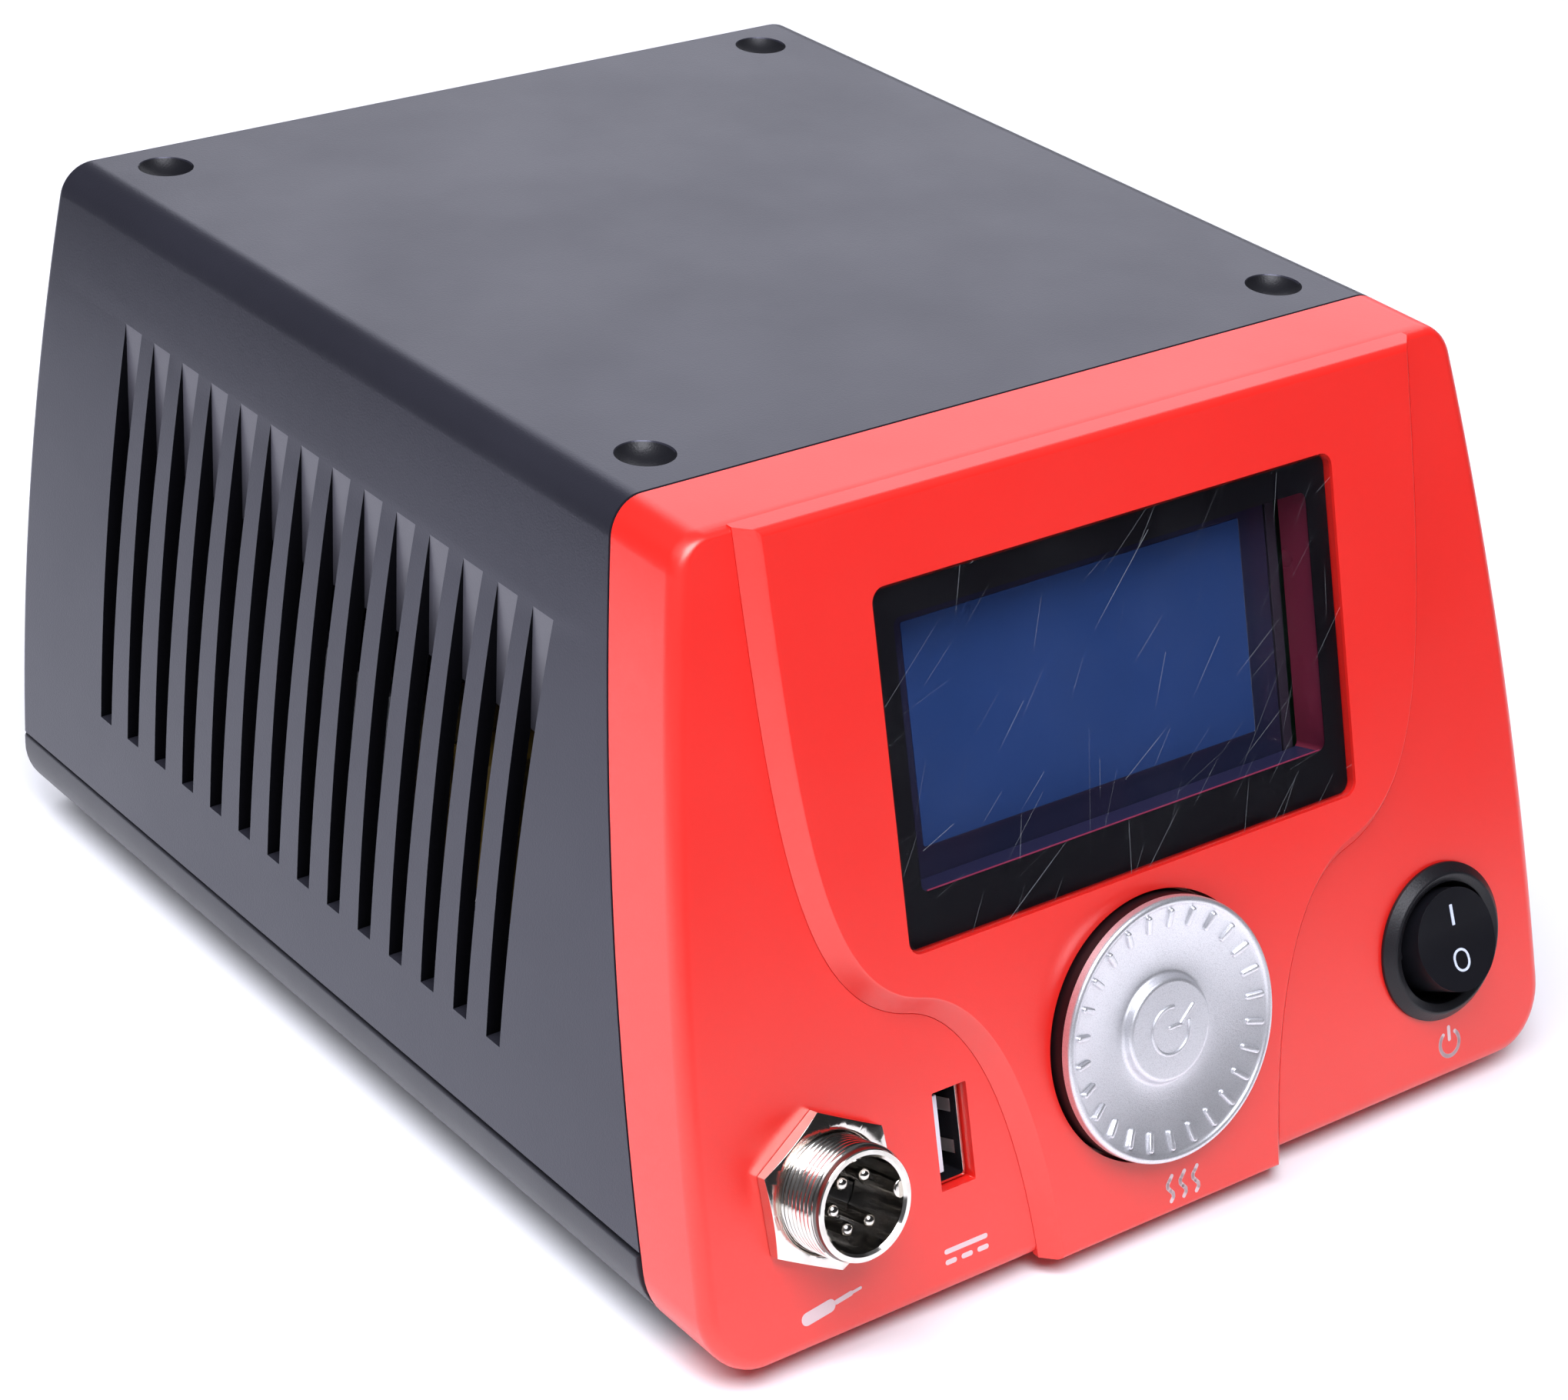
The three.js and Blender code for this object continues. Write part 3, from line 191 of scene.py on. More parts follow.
def turned(profile, sides=96):
    """A profile of (radius, height) points, turned round Z."""
    corners, rows = [], []
    for radius, height in profile:
        first = len(corners)
        if radius < 1e-6:
            corners.append((0, 0, height))
            rows.append([first] * sides)
            continue
        rows.append([first + i for i in range(sides)])
        for i in range(sides):
            angle = 2 * math.pi * i / sides
            corners.append((radius * math.cos(angle), radius * math.sin(angle), height))
    faces = []
    for low, high in zip(rows, rows[1:]):
        for i in range(sides):
            j = (i + 1) % sides
            face = list(dict.fromkeys([low[i], low[j], high[j], high[i]]))
            if len(face) > 2:
                faces.append(face)
    return corners, faces


def rod(radius, low, high, x=0, y=0, sides=48):
    return moved(turned([(0, low), (radius, low), (radius, high), (0, high)], sides), x, y)


def placed(shape, matrix):
    corners, faces = shape
    return [tuple(matrix @ Vector(c)) for c in corners], faces


def moved(shape, x=0, y=0, z=0):
    return placed(shape, Matrix.Translation((x, y, z)))


def rotated(shape, degrees, axis):
    return placed(shape, Matrix.Rotation(math.radians(degrees), 4, axis))


def together(*shapes):
    corners, faces = [], []
    for more_corners, more_faces in shapes:
        first = len(corners)
        corners += more_corners
        faces += [[first + i for i in face] for face in more_faces]
    return corners, faces


# ---- objects


def new_object(name, shape, place):
    corners, faces = placed(shape, place)
    mesh = bpy.data.meshes.new(name)
    mesh.from_pydata(corners, [], faces)
    work = bmesh.new()
    work.from_mesh(mesh)
    bmesh.ops.recalc_face_normals(work, faces=work.faces)
    work.to_mesh(mesh)
    work.free()
    obj = bpy.data.objects.new(name, mesh)
    bpy.context.scene.collection.objects.link(obj)
    return obj


def apply_modifiers(obj):
    graph = bpy.context.evaluated_depsgraph_get()
    mesh = bpy.data.meshes.new_from_object(obj.evaluated_get(graph))
    obj.modifiers.clear()
    obj.data = mesh


def boolean(obj, operation, tool):
    """Changes an object by a tool object, and uses the tool up."""
    change = obj.modifiers.new("change", "BOOLEAN")
    change.operation = operation
    change.solver = "MANIFOLD"
    change.object = tool
    apply_modifiers(obj)
    bpy.data.objects.remove(tool)


def combine(obj, operation, *shapes, place):
    """Changes an object by one shape after another."""
    for shape in shapes:
        boolean(obj, operation, new_object("tool", shape, place))


def cut(obj, *shapes, place):
    combine(obj, "DIFFERENCE", *shapes, place=place)


def round_edges(obj, width, segments=2, angle=SHARP, miter="MITER_ARC"):
    """Modifiers that weld the corners and round the sharp edges by a width in millimetres."""
    weld = obj.modifiers.new("weld", "WELD")
    weld.merge_threshold = WELD * MM
    if width:
        edges = obj.modifiers.new("edges", "BEVEL")
        edges.width = width * MM
        edges.segments = segments
        edges.limit_method = "ANGLE"
        edges.angle_limit = math.radians(angle)
        edges.miter_outer = miter


def even_normals(obj):
    normals = obj.modifiers.new("normals", "WEIGHTED_NORMAL")
    normals.keep_sharp = True


def dress(obj, look, node=None, body="case", width=0, segments=2, angle=SHARP):
    """Finishes a new piece: rounded and shaded edges, its look or looks, the body that carries
    it and the CAD node it stands for. A width of 0 only welds the corners,
    and None leaves the mesh alone."""
    if width is not None:
        round_edges(obj, width, segments, angle)
        apply_modifiers(obj)
    obj.data.shade_smooth()
    obj.data.set_sharp_from_angle(angle=math.radians(angle))
    even_normals(obj)
    obj.data.materials.clear()
    for material in look if isinstance(look, tuple) else [look]:
        obj.data.materials.append(material)
    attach(obj, body)
    if node:
        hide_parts(node)


def paint(obj, place, pick):
    """Gives each face one of its piece's looks, picked by the face's middle and its normal."""
    inverse = place.inverted()
    for face in obj.data.polygons:
        face.material_index = pick(inverse @ face.center, face.normal)


# ---- materials


class Look:
    """A procedural material with one Principled shader. Sizes of patterns are in millimetres."""

    def __init__(self, name, colour, roughness, **plain):
        self.material = bpy.data.materials.new(name)
        self.material.use_nodes = True
        self.tree = self.material.node_tree
        self.shader = self.tree.nodes["Principled BSDF"]
        plain = {"Base_Color": (*colour, 1), "Roughness": roughness, **plain}
        for socket, value in plain.items():
            self.shader.inputs[socket.replace("_", " ")].default_value = value
        self.colour, self.roughness = colour, roughness
        self.coords = self.add("TexCoord").outputs["Object"]

    def add(self, kind, inputs=(), **settings):
        """A node with its settings. Each input is given a plain value or another node's output."""
        node = self.tree.nodes.new("ShaderNode" + kind)
        for key, value in settings.items():
            setattr(node, key, value)
        for socket, value in dict(inputs).items():
            if isinstance(value, bpy.types.NodeSocket):
                self.tree.links.new(value, node.inputs[socket])
            else:
                node.inputs[socket].default_value = value
        return node

    def feed(self, socket, source):
        self.tree.links.new(source, self.shader.inputs[socket])

    def noise(self, size, detail=3):
        inputs = {"Vector": self.coords, "Scale": 1 / (size * MM), "Detail": detail}
        return self.add("TexNoise", inputs).outputs["Fac"]

    def spread(self, value, low, high, to_low, to_high):
        """A value remapped from one range to another, and held within it."""
        inputs = {"Value": value, "From Min": low, "From Max": high}
        inputs.update({"To Min": to_low, "To Max": to_high})
        return self.add("MapRange", inputs).outputs["Result"]

    def maths(self, kind, *values):
        return self.add("Math", enumerate(values), operation=kind).outputs["Value"]

    def times(self, first, second):
        return self.maths("MULTIPLY", first, second)

    def mixed(self, share, first, second):
        """Two colours blended by a share. A Mix node's colour sockets go by number only."""
        inputs = {0: share, 6: (*first, 1), 7: (*second, 1)}
        return self.add("Mix", inputs, data_type="RGBA").outputs[2]

    def tint(self, other, size, share=0.5):
        """Lets the colour drift towards another one in soft patches."""
        patches = self.spread(self.noise(size, 4), 0.35, 0.7, 0, share)
        self.feed("Base Color", self.mixed(patches, self.colour, other))
        return self

    def smudge(self, size, change):
        """Lets the roughness drift in soft patches."""
        low, high = self.roughness - change, self.roughness + change
        self.feed("Roughness", self.spread(self.noise(size, 5), 0.3, 0.7, low, high))
        return self

    def relief(self, height_map, depth, strength=1.0):
        """Adds bump from a map whose full range is a depth in millimetres."""
        inputs = {"Height": height_map, "Strength": strength, "Distance": depth * MM}
        earlier = self.shader.inputs["Normal"].links
        if earlier:
            inputs["Normal"] = earlier[0].from_socket
        self.feed("Normal", self.add("Bump", inputs).outputs["Normal"])
        return self

    def grain(self, size, depth):
        """The fine spark-eroded texture of a moulded surface."""
        return self.relief(self.noise(size, 4), depth)


def moulded(name, colour, other, roughness, grain=0.28, depth=0.02, drift=0.05, **plain):
    """Moulded plastic or paint: wide patches of colour and gloss, a grain and faint waves."""
    look = Look(name, colour, roughness, **plain)
    look.tint(other, 35).smudge(22, drift)
    look.grain(grain, depth).relief(look.noise(6, 2), 0.012, 0.6)
    return look.material


def metal(name, colour, other, roughness):
    """Bare metal: small patches of colour and gloss, and fine scuffs."""
    look = Look(name, colour, roughness, Metallic=1.0)
    look.tint(other, 3).smudge(1.5, 0.04)
    look.relief(look.noise(0.5, 3), 0.003)
    return look.material


def clear_pane():
    """Clear acrylic: a mirror image at the surface, what lies behind, and fine scratches."""
    look = Look("clear_acrylic", (0.7, 0.75, 0.8), 0.25)
    clear = look.add("BsdfTransparent", {"Color": (0.93, 0.94, 0.95, 1)}).outputs["BSDF"]
    mirror = look.add("BsdfGlossy", {"Roughness": 0.04}).outputs["BSDF"]
    fresnel = look.add("Fresnel", {"IOR": 1.49}).outputs["Fac"]
    outside = look.spread(look.add("NewGeometry").outputs["Backfacing"], 0, 1, 1, 0)
    inputs = {"Fac": look.times(fresnel, outside), 1: clear, 2: mirror}
    pane = look.add("MixShader", inputs).outputs["Shader"]
    share = look.times(scratches(look), outside)
    inputs = {"Fac": share, 1: pane, 2: look.shader.outputs["BSDF"]}
    scratched = look.add("MixShader", inputs).outputs["Shader"]
    look.tree.links.new(scratched, look.tree.nodes["Material Output"].inputs["Surface"])
    return look.material


def hairlines(look, size, width, share, start):
    """One straight scratch in some of the cells of a grid on the panel, each at its own angle."""
    inputs = {"Vector": look.coords, "Rotation": (LEAN - math.pi / 2, 0, 0)}
    inputs.update({"Location": (start, start, 0), "Scale": (1 / (size * MM),) * 3})
    flat = look.add("Mapping", inputs).outputs["Vector"]
    grid = look.add("TexVoronoi", {"Vector": flat, "Scale": 1}, voronoi_dimensions="2D").outputs
    offset = look.add("VectorMath", {0: flat, 1: grid["Position"]}, operation="SUBTRACT")
    place = look.add("SeparateXYZ", {"Vector": offset.outputs["Vector"]}).outputs
    chance = look.add("SeparateColor", {"Color": grid["Color"]}).outputs
    angle = look.spread(chance["Red"], 0, 1, 0.2, 1.6)
    sine, cosine = look.maths("SINE", angle), look.maths("COSINE", angle)
    x, y = place["X"], place["Y"]
    across = look.maths("SUBTRACT", look.times(x, sine), look.times(y, cosine))
    along = look.maths("ADD", look.times(x, cosine), look.times(y, sine))
    line = look.spread(look.maths("ABSOLUTE", across), 0, width / size, share, 0)
    ends = look.spread(look.maths("ABSOLUTE", along), 0.25, 0.6, 1, 0)
    some = look.spread(chance["Green"], 0.35, 0.9, 0, 1)
    return look.times(look.times(line, ends), some)


SCRATCHES = (  # cell size, width, how opaque a scratch is, and where the grid starts
    (19, 0.04, 0.55, 0.3),
    (11, 0.036, 0.5, 4.1),
    (7, 0.032, 0.4, 9.7),
)


def scratches(look):
    """Fine straight hairlines of three lengths, and a faint haze of wiping."""
    marks = look.spread(look.noise(14), 0.45, 0.75, 0, 0.005)
    for lot in SCRATCHES:
        marks = look.maths("MAXIMUM", hairlines(look, *lot), marks)
    return marks


HOUSING = moulded("housing_plastic", (0.018, 0.018, 0.024), (0.023, 0.023, 0.031), 0.31, drift=0.03,
                  Specular_IOR_Level=0.55, Specular_Tint=(0.8, 0.8, 1, 1))
TRAY = moulded("tray_plastic", (0.045, 0.045, 0.053), (0.055, 0.055, 0.063), 0.46)
BEZEL = moulded("bezel_plastic", (0.77, 0.017, 0.012), (0.73, 0.014, 0.009), 0.32, 0.32, 0.01, 0.02,
                IOR=1.8, Specular_Tint=(1, 0.95, 0.86, 1))
# Painted shade: the vents' side walls are the housing's own plastic, made near black and barely
# glossy for the shade inside the slots.
VENT_WALL_SHADE = moulded("vent_wall_painted_shade", (0.002, 0.002, 0.003), (0.003, 0.003, 0.004), 0.6,
                    Specular_IOR_Level=0.05)
BLACK = moulded("black_plastic", (0.007, 0.007, 0.009), (0.012, 0.012, 0.014), 0.42, 0.3, 0.03,
                Specular_IOR_Level=0.35)
BUTTON = moulded("button_plastic", (0.006, 0.006, 0.008), (0.009, 0.009, 0.012), 0.33, 0.2, 0.008,
                 Specular_IOR_Level=0.4)
# Painted shade: the window well's sides are the bezel's red plastic, darkened for the shade inside
# the well.
WELL = moulded("well_side_painted_shade", (0.2, 0.02, 0.045), (0.28, 0.028, 0.06), 0.3, 0.32, 0.012)
# Painted shade: the thread's grooves are the same nickel, made darker and rougher for the shade
# between the crests.
THREAD_GROOVE_SHADE = metal("nickel_groove_painted_shade", (0.22, 0.2, 0.185), (0.16, 0.145, 0.13), 0.32)
# Painted shade on the well's top and bottom ends, tinted blue as a painted reflection of the
# display.
WELL_SHADE = moulded("well_end_painted_shade", (0.026, 0.026, 0.066), (0.036, 0.03, 0.08), 0.3,
                     0.32, 0.012)
# A thin pink line along the foot of the display's clear area.
PINK_LINE = moulded("foot_line_pink", (0.4, 0.04, 0.1), (0.45, 0.05, 0.12), 0.5, 0.3, 0.006)
LCD_FRAME = moulded("lcd_frame_paint", (0.028, 0.022, 0.034), (0.036, 0.028, 0.042), 0.4,
                    0.3, 0.008)
INSULATOR = moulded("insulator_plastic", (0.006, 0.006, 0.007), (0.01, 0.01, 0.011), 0.2,
                    0.6, 0.004)
WHITE = moulded("white_plastic", (0.72, 0.74, 0.8), (0.66, 0.68, 0.75), 0.4, 0.3, 0.006)
RUBBER = moulded("foot_rubber", (0.015, 0.015, 0.016), (0.028, 0.028, 0.03), 0.75, 0.5, 0.04)
PRINT = moulded("pale_print", (0.72, 0.55, 0.56), (0.66, 0.48, 0.5), 0.5, 0.2, 0.004)
SWITCH_PRINT = moulded("switch_print", (0.6, 0.66, 0.8), (0.55, 0.61, 0.74), 0.45, 0.2, 0.004)
BORDER = moulded("printed_border", (0.002, 0.0015, 0.003), (0.003, 0.0025, 0.0045), 0.5, 0.5, 0.002,
                 Specular_IOR_Level=0.2)
EARTH = moulded("earth_plastic", (0.5, 0.55, 0.04), (0.03, 0.3, 0.06), 0.35, 0.4, 0.008)
TAPE = moulded("coil_tape", (0.26, 0.17, 0.03), (0.32, 0.21, 0.05), 0.4, 1.2, 0.02)
SLEEVE = moulded("component_black", (0.012, 0.012, 0.014), (0.02, 0.02, 0.022), 0.3, 0.4, 0.008)
BOARD = moulded("circuit_board", (0.012, 0.09, 0.035), (0.02, 0.13, 0.05), 0.3, 0.8, 0.01)
NICKEL = metal("nickel", (0.78, 0.75, 0.7), (0.62, 0.57, 0.5), 0.13)
STEEL = metal("bright_steel", (0.52, 0.53, 0.55), (0.45, 0.45, 0.47), 0.34)
ZINC = metal("screw_steel", (0.5, 0.5, 0.52), (0.6, 0.56, 0.46), 0.3)
BRASS = metal("brass", (0.72, 0.5, 0.2), (0.62, 0.42, 0.17), 0.25)
ANODISED = metal("aluminium", (0.06, 0.06, 0.065), (0.09, 0.09, 0.095), 0.45)
CLEAR = clear_pane()


def knob_paint():
    """Silver paint over plastic, with fine metal flakes."""
    look = Look("knob_silver", (0.74, 0.745, 0.77), 0.37, Metallic=0.8, Specular_IOR_Level=0.6)
    inputs = {"Vector": look.coords, "Scale": 1 / (0.16 * MM)}
    flake = look.add("TexVoronoi", inputs).outputs["Distance"]
    share = look.spread(flake, 0, 0.9, 0, 1)
    look.feed("Base Color", look.mixed(share, (0.82, 0.82, 0.85), (0.64, 0.645, 0.67)))
    look.smudge(4, 0.03)
    look.relief(flake, 0.01)
    look.relief(look.noise(0.4, 3), 0.006)
    return look.material


def display_film(name, colour, other, roughness, patches, share=0.5):
    """One area of the unlit display: smooth, with a colour that drifts a little."""
    look = Look(name, colour, roughness, Specular_IOR_Level=0.5)
    look.tint(other, patches, share)
    look.relief(look.noise(3, 2), 0.002)
    return look.material


def vent_back():
    """The upright face at the top of each vent, with painted light and shade: lighter than the
    housing near the top, then darker and less glossy as it gets deeper.
    """
    look = Look("vent_back_painted_light", (0.08, 0.078, 0.095), 0.4, Specular_IOR_Level=0.9)
    shaded, lit = 0.066, 0.083  # heights above the table, in metres, from painted shade below to painted light above
    height = look.add("SeparateXYZ", {"Vector": look.coords}).outputs["Z"]
    light = look.spread(height, shaded, lit, 0, 1)
    look.feed("Base Color", look.mixed(light, (0.003, 0.003, 0.004), look.colour))
    look.feed("Specular IOR Level", look.spread(light, 0, 1, 0.1, 0.9))
    look.grain(0.28, 0.02)
    return look.material


def fuse_glass():
    look = Look("fuse_glass", (0.8, 0.82, 0.8), 0.08, Transmission_Weight=0.9, IOR=1.5)
    look.relief(look.noise(2, 2), 0.002)
    return look.material


KNOB_PAINT = knob_paint()
# Painted shade and a painted reflection of the red pocket: the lower side of the silver knob, made
# reddish black.
KNOB_SIDE_SHADE = moulded("knob_side_painted_shade", (0.01, 0.003, 0.004), (0.014, 0.005, 0.006), 0.45, 0.3, 0.006,
                    Specular_IOR_Level=0.25)
DISPLAY = display_film("display_glass", (0.024, 0.054, 0.17), (0.029, 0.062, 0.19), 0.08, 18, 0.8)
VENT_BACK_LIGHT_AND_SHADE = vent_back()
SURROUND = display_film("display_surround", (0.016, 0.018, 0.042), (0.028, 0.018, 0.04), 0.1, 12)
FUSE_GLASS = fuse_glass()


# ---- the case


def lean_back(z):
    """How far back the leaning front stands at a height."""
    return math.tan(LEAN) * (z - UNDERSIDE)


def body_corner(side_radius, edge, radius, up, steps):
    """A rounded corner that runs smoothly into the long arc of the side wall."""
    z = edge - up * radius
    arc_x = HALF_WIDTH - SIDE_RADIUS
    x = arc_x + math.sqrt((side_radius - radius) ** 2 - (z - SIDE_CENTRE_Z) ** 2)
    meets = math.degrees(math.atan2(z - SIDE_CENTRE_Z, x - arc_x))
    start, end = (meets, 90) if up > 0 else (-90, meets)
    return arc(x, z, radius, start, end, steps), meets


def body_outline(inset, top, bottom):
    """The closed outline of the body in X and Z."""
    turns, lifts = 12, 22  # steps round a corner and up a side
    side_radius = SIDE_RADIUS - inset
    low, low_meets = body_corner(side_radius, bottom, max(BOTTOM_CORNER - inset, 0.5), -1, turns)
    high, high_meets = body_corner(side_radius, top, max(TOP_CORNER - inset, 0.5), 1, turns)
    side = arc(HALF_WIDTH - SIDE_RADIUS, SIDE_CENTRE_Z, side_radius, low_meets, high_meets, lifts)
    right = low + side[1:-1] + high
    return right + [(-x, z) for x, z in reversed(right)]


def top_at(y):
    """The height of the sloping top."""
    seam = SEAM + lean_back(FRONT_TOP)
    return FRONT_TOP + (REAR_TOP - FRONT_TOP) * (y - seam) / (DEPTH - seam)


def body_block(inset, front=None):
    """The body behind a leaning plane, or from well in front of it when no plane is given."""

    def ring(y, shrink):
        outline = body_outline(shrink, top_at(y) - shrink, UNDERSIDE + shrink)
        return [(x, y, z) for x, z in outline]

    if front is None:
        rings = [ring(-10 - inset, inset)]
    else:
        outline = body_outline(inset, FRONT_TOP - inset, UNDERSIDE + inset)
        rings = [[(x, lean_back(z) + front, z) for x, z in outline]]
    radius = max(REAR_ROUND - inset, 0.3)
    steps = 8
    for i in range(steps + 1):
        angle = math.pi / 2 * i / steps
        back = DEPTH - inset - radius * (1 - math.sin(angle))
        rings.append(ring(back, inset + radius * (1 - math.cos(angle))))
    return loft(rings)


def side_vents():
    """Slots that widen upwards. Their floors are upright, so the leaning wall ends them."""
    slots = []
    low, high = VENT_BOTTOM, VENT_TOP + 3
    for i in range(VENTS):
        y = VENT_FIRST + i * VENT_PITCH
        outline = [(y, low), (y + VENT_NARROW, low), (y + VENT_WIDE, high), (y, high)]
        for low_x, high_x in ((VENT_FLOOR, 90), (-90, -VENT_FLOOR)):
            slots.append(rotated(rotated(prism(outline, low_x, high_x), 90, "X"), 90, "Z"))
    return together(*slots)


def dimples():
    """Balls that cut the four shallow dimples into the top."""
    radius = (DIMPLE_RADIUS**2 + DIMPLE_DEPTH**2) / (2 * DIMPLE_DEPTH)
    ball = turned([(0, -radius), *arc(0, 0, radius, -85, 85, 34), (0, radius)], 64)
    return together(*[
        moved(ball, side * DIMPLE_X, y, top_at(y) - DIMPLE_DEPTH + radius)
        for side in (-1, 1) for y in (DIMPLE_FRONT, DIMPLE_REAR)
    ])


def in_dimple(p):
    near = min(math.hypot(abs(p.x) - DIMPLE_X, p.y - y) for y in (DIMPLE_FRONT, DIMPLE_REAR))
    return near < DIMPLE_RADIUS and -DIMPLE_DEPTH - 0.1 < p.z - top_at(p.y) < -0.12


def housing_look(middle, normal):
    """Which of the housing's looks a face takes: painted shade on the vent sides, painted light and
    shade on the vent backs, painted shade in the dimples, or the plain housing.
    """
    first, last = VENT_FIRST - 0.5, VENT_FIRST + VENTS * VENT_PITCH
    if first < middle.y < last and VENT_BOTTOM - 0.5 < middle.z < VENT_TOP + 1:
        # the vents' side walls take the painted shade
        if abs(normal.y) > 0.8:
            return 1
        # the vents' upright backs take the painted light and shade
        if abs(abs(middle.x) - VENT_FLOOR) < 0.1:
            return 2
    # the dimples take the black plastic as painted shade in their hollows
    return 3 if in_dimple(middle) else 0


def upper_housing():
    shell = new_object("housing_shell", body_block(0, SEAM + SEAM_GAP), STATION)
    rise = 0.7  # the parting line climbs a little towards the front
    below = loft([
        [(100, y, 0), (100, y, z), (-100, y, z), (-100, y, 0)]
        for y, z in ((-20, PARTING_Z + 0.2 + rise), (DEPTH + 5, PARTING_Z + 0.2))
    ])
    half, top = REAR_OPENING_HALF, REAR_OPENING_TOP
    window = prism(rounded_rect(2 * half, 2 * top, 3), -DEPTH - 5, -DEPTH + 10)
    cut(shell, body_block(WALL), below, rotated(window, 90, "X"), place=STATION)
    cut(shell, side_vents(), dimples(), place=STATION)
    # the plain housing, painted shade on the vent sides, painted light and shade on the vent backs,
    # and the black plastic as painted shade in the dimples
    looks = (HOUSING, VENT_WALL_SHADE, VENT_BACK_LIGHT_AND_SHADE, BLACK)
    dress(shell, looks, "upper_housing", width=0.3)
    paint(shell, STATION, housing_look)


def tray_edge(name, *away):
    """A strip just inside the tray's wall, which closes the view through the parting line. Its
    black is painted shade in the gap; the tray's own plastic is grey.
    """
    strip = new_object(name, body_block(1, SEAM + SEAM_GAP), STATION)
    cut(strip, body_block(WALL + 0.3), *away, place=STATION)
    dress(strip, BLACK)


def base_tray():
    """The lower shell. The vents go on as notches low in its sides."""
    tray = new_object("tray_shell", body_block(0, SEAM + TRAY_SETBACK), STATION)
    cut(tray, body_block(WALL), slab(PARTING_Z - 0.4, 150), place=STATION)
    notches = []
    for i in range(VENTS):
        y = VENT_FIRST + i * VENT_PITCH
        for side in (-1, 1):
            low, high = sorted((side * 66, side * 80))
            notches.append(block(low, high, y, y + 3.4, 0, 6.2))
    cut(tray, together(*notches), place=STATION)
    dress(tray, TRAY, "base_tray", width=0.3)
    tray_edge("tray_tongue", slab(0, PARTING_Z - 2.4), slab(PARTING_Z + 2.5, 150))
    corners = ((100, -20), (100, 130), (-100, 130), (-100, -20))
    behind = loft([
        [(x, lean_back(z) + depth, z) for x, z in corners] for depth in (SEAM + 6, 400)
    ])
    tray_edge("tray_lip", slab(PARTING_Z - 2, 150), behind)


# ---- the front bezel


def bezel_block(step, side_round, top_round, inset=0, rear=SEAM):
    """The bezel from a leaning front plane back to the seam, with a rounded front edge."""
    rings = []
    turns = 6
    for i in range(turns + 1):
        angle = math.pi / 2 * i / turns
        back = step + side_round * (1 - math.cos(angle))
        left = 1 - math.sin(angle)
        top = FRONT_TOP - inset - top_round * left
        bottom = UNDERSIDE + inset + side_round * left
        outline = body_outline(inset + side_round * left, top, bottom)
        rings.append([(x, lean_back(z) + back, z) for x, z in outline])
    outline = body_outline(inset, FRONT_TOP - inset, UNDERSIDE + inset)
    rings.append([(x, lean_back(z) + rear, z) for x, z in outline])
    return loft(rings)


def raised_edge():
    """The middle panel's edge on the right, from the top down."""
    shoulder = Vector((38.3, 43))
    along = Vector((math.cos(math.radians(15)), math.sin(math.radians(15))))
    upper = cubic((55, 112), (54.2, 72), shoulder + along * 15.9, shoulder, 40)
    lower = cubic(shoulder, shoulder - along * 10.5, (20.4, 26), (19.2, -4), 34)
    return upper + lower[1:]


def edge_offsets():
    """The points of the panel's edge, each with the direction out of the panel."""
    edge = raised_edge()
    result = []
    for i, point in enumerate(edge):
        along = edge[min(i + 1, len(edge) - 1)] - edge[max(i - 1, 0)]
        result.append((point, Vector((-along.y, along.x)).normalized()))
    return result


def raised_panel():
    """The middle panel with its sloping edge, standing on the lower plane."""
    edge = edge_offsets()
    crown = [  # share of the slope's width, and height
        (1, LOW - 1), (1, LOW), (0.42, -0.95), (0.24, -0.5), (0.12, -0.22), (0.04, -0.05), (0, 0),
    ]
    rings = []
    for share, height in crown:
        right = [point + out * share * PANEL_SLOPE for point, out in reversed(edge)]
        left = [Vector((-p.x, p.y)) for p in reversed(right)]
        rings.append([(p.x, p.y, height) for p in right + left])
    return loft(rings)


def foot_groove():
    """A fine groove along the foot of the slope, on both sides."""
    half, depth = 0.22, 0.22
    grooves = []
    for side in (-1, 1):
        rings = []
        for point, out in edge_offsets():
            foot = point + out * PANEL_SLOPE
            section = [(half, 0.3), (-half, 0.3), (0, -depth)]
            corners = [(foot + out * across, LOW + height) for across, height in section]
            rings.append([(side * p.x, p.y, z) for p, z in corners])
        grooves.append(loft(rings))
    return together(*grooves)


def bezel_look(middle, normal):
    """Which of the bezel's looks a face takes: painted shade on the window well's sides, painted
    shade tinted blue as a painted reflection of the display on its ends, or the plain red.
    """
    within = (abs(middle.x) < HOLE_WIDTH / 2 + 0.1
              and abs(middle.y - HOLE_V) < HOLE_HEIGHT / 2 + 0.1)
    if not within or not -9 < middle.z < -WINDOW_REBATE - 0.2:
        return 0
    # the sides take the painted shade, the ends the painted shade and reflection
    return 1 if abs(normal.x) > 0.5 else 2


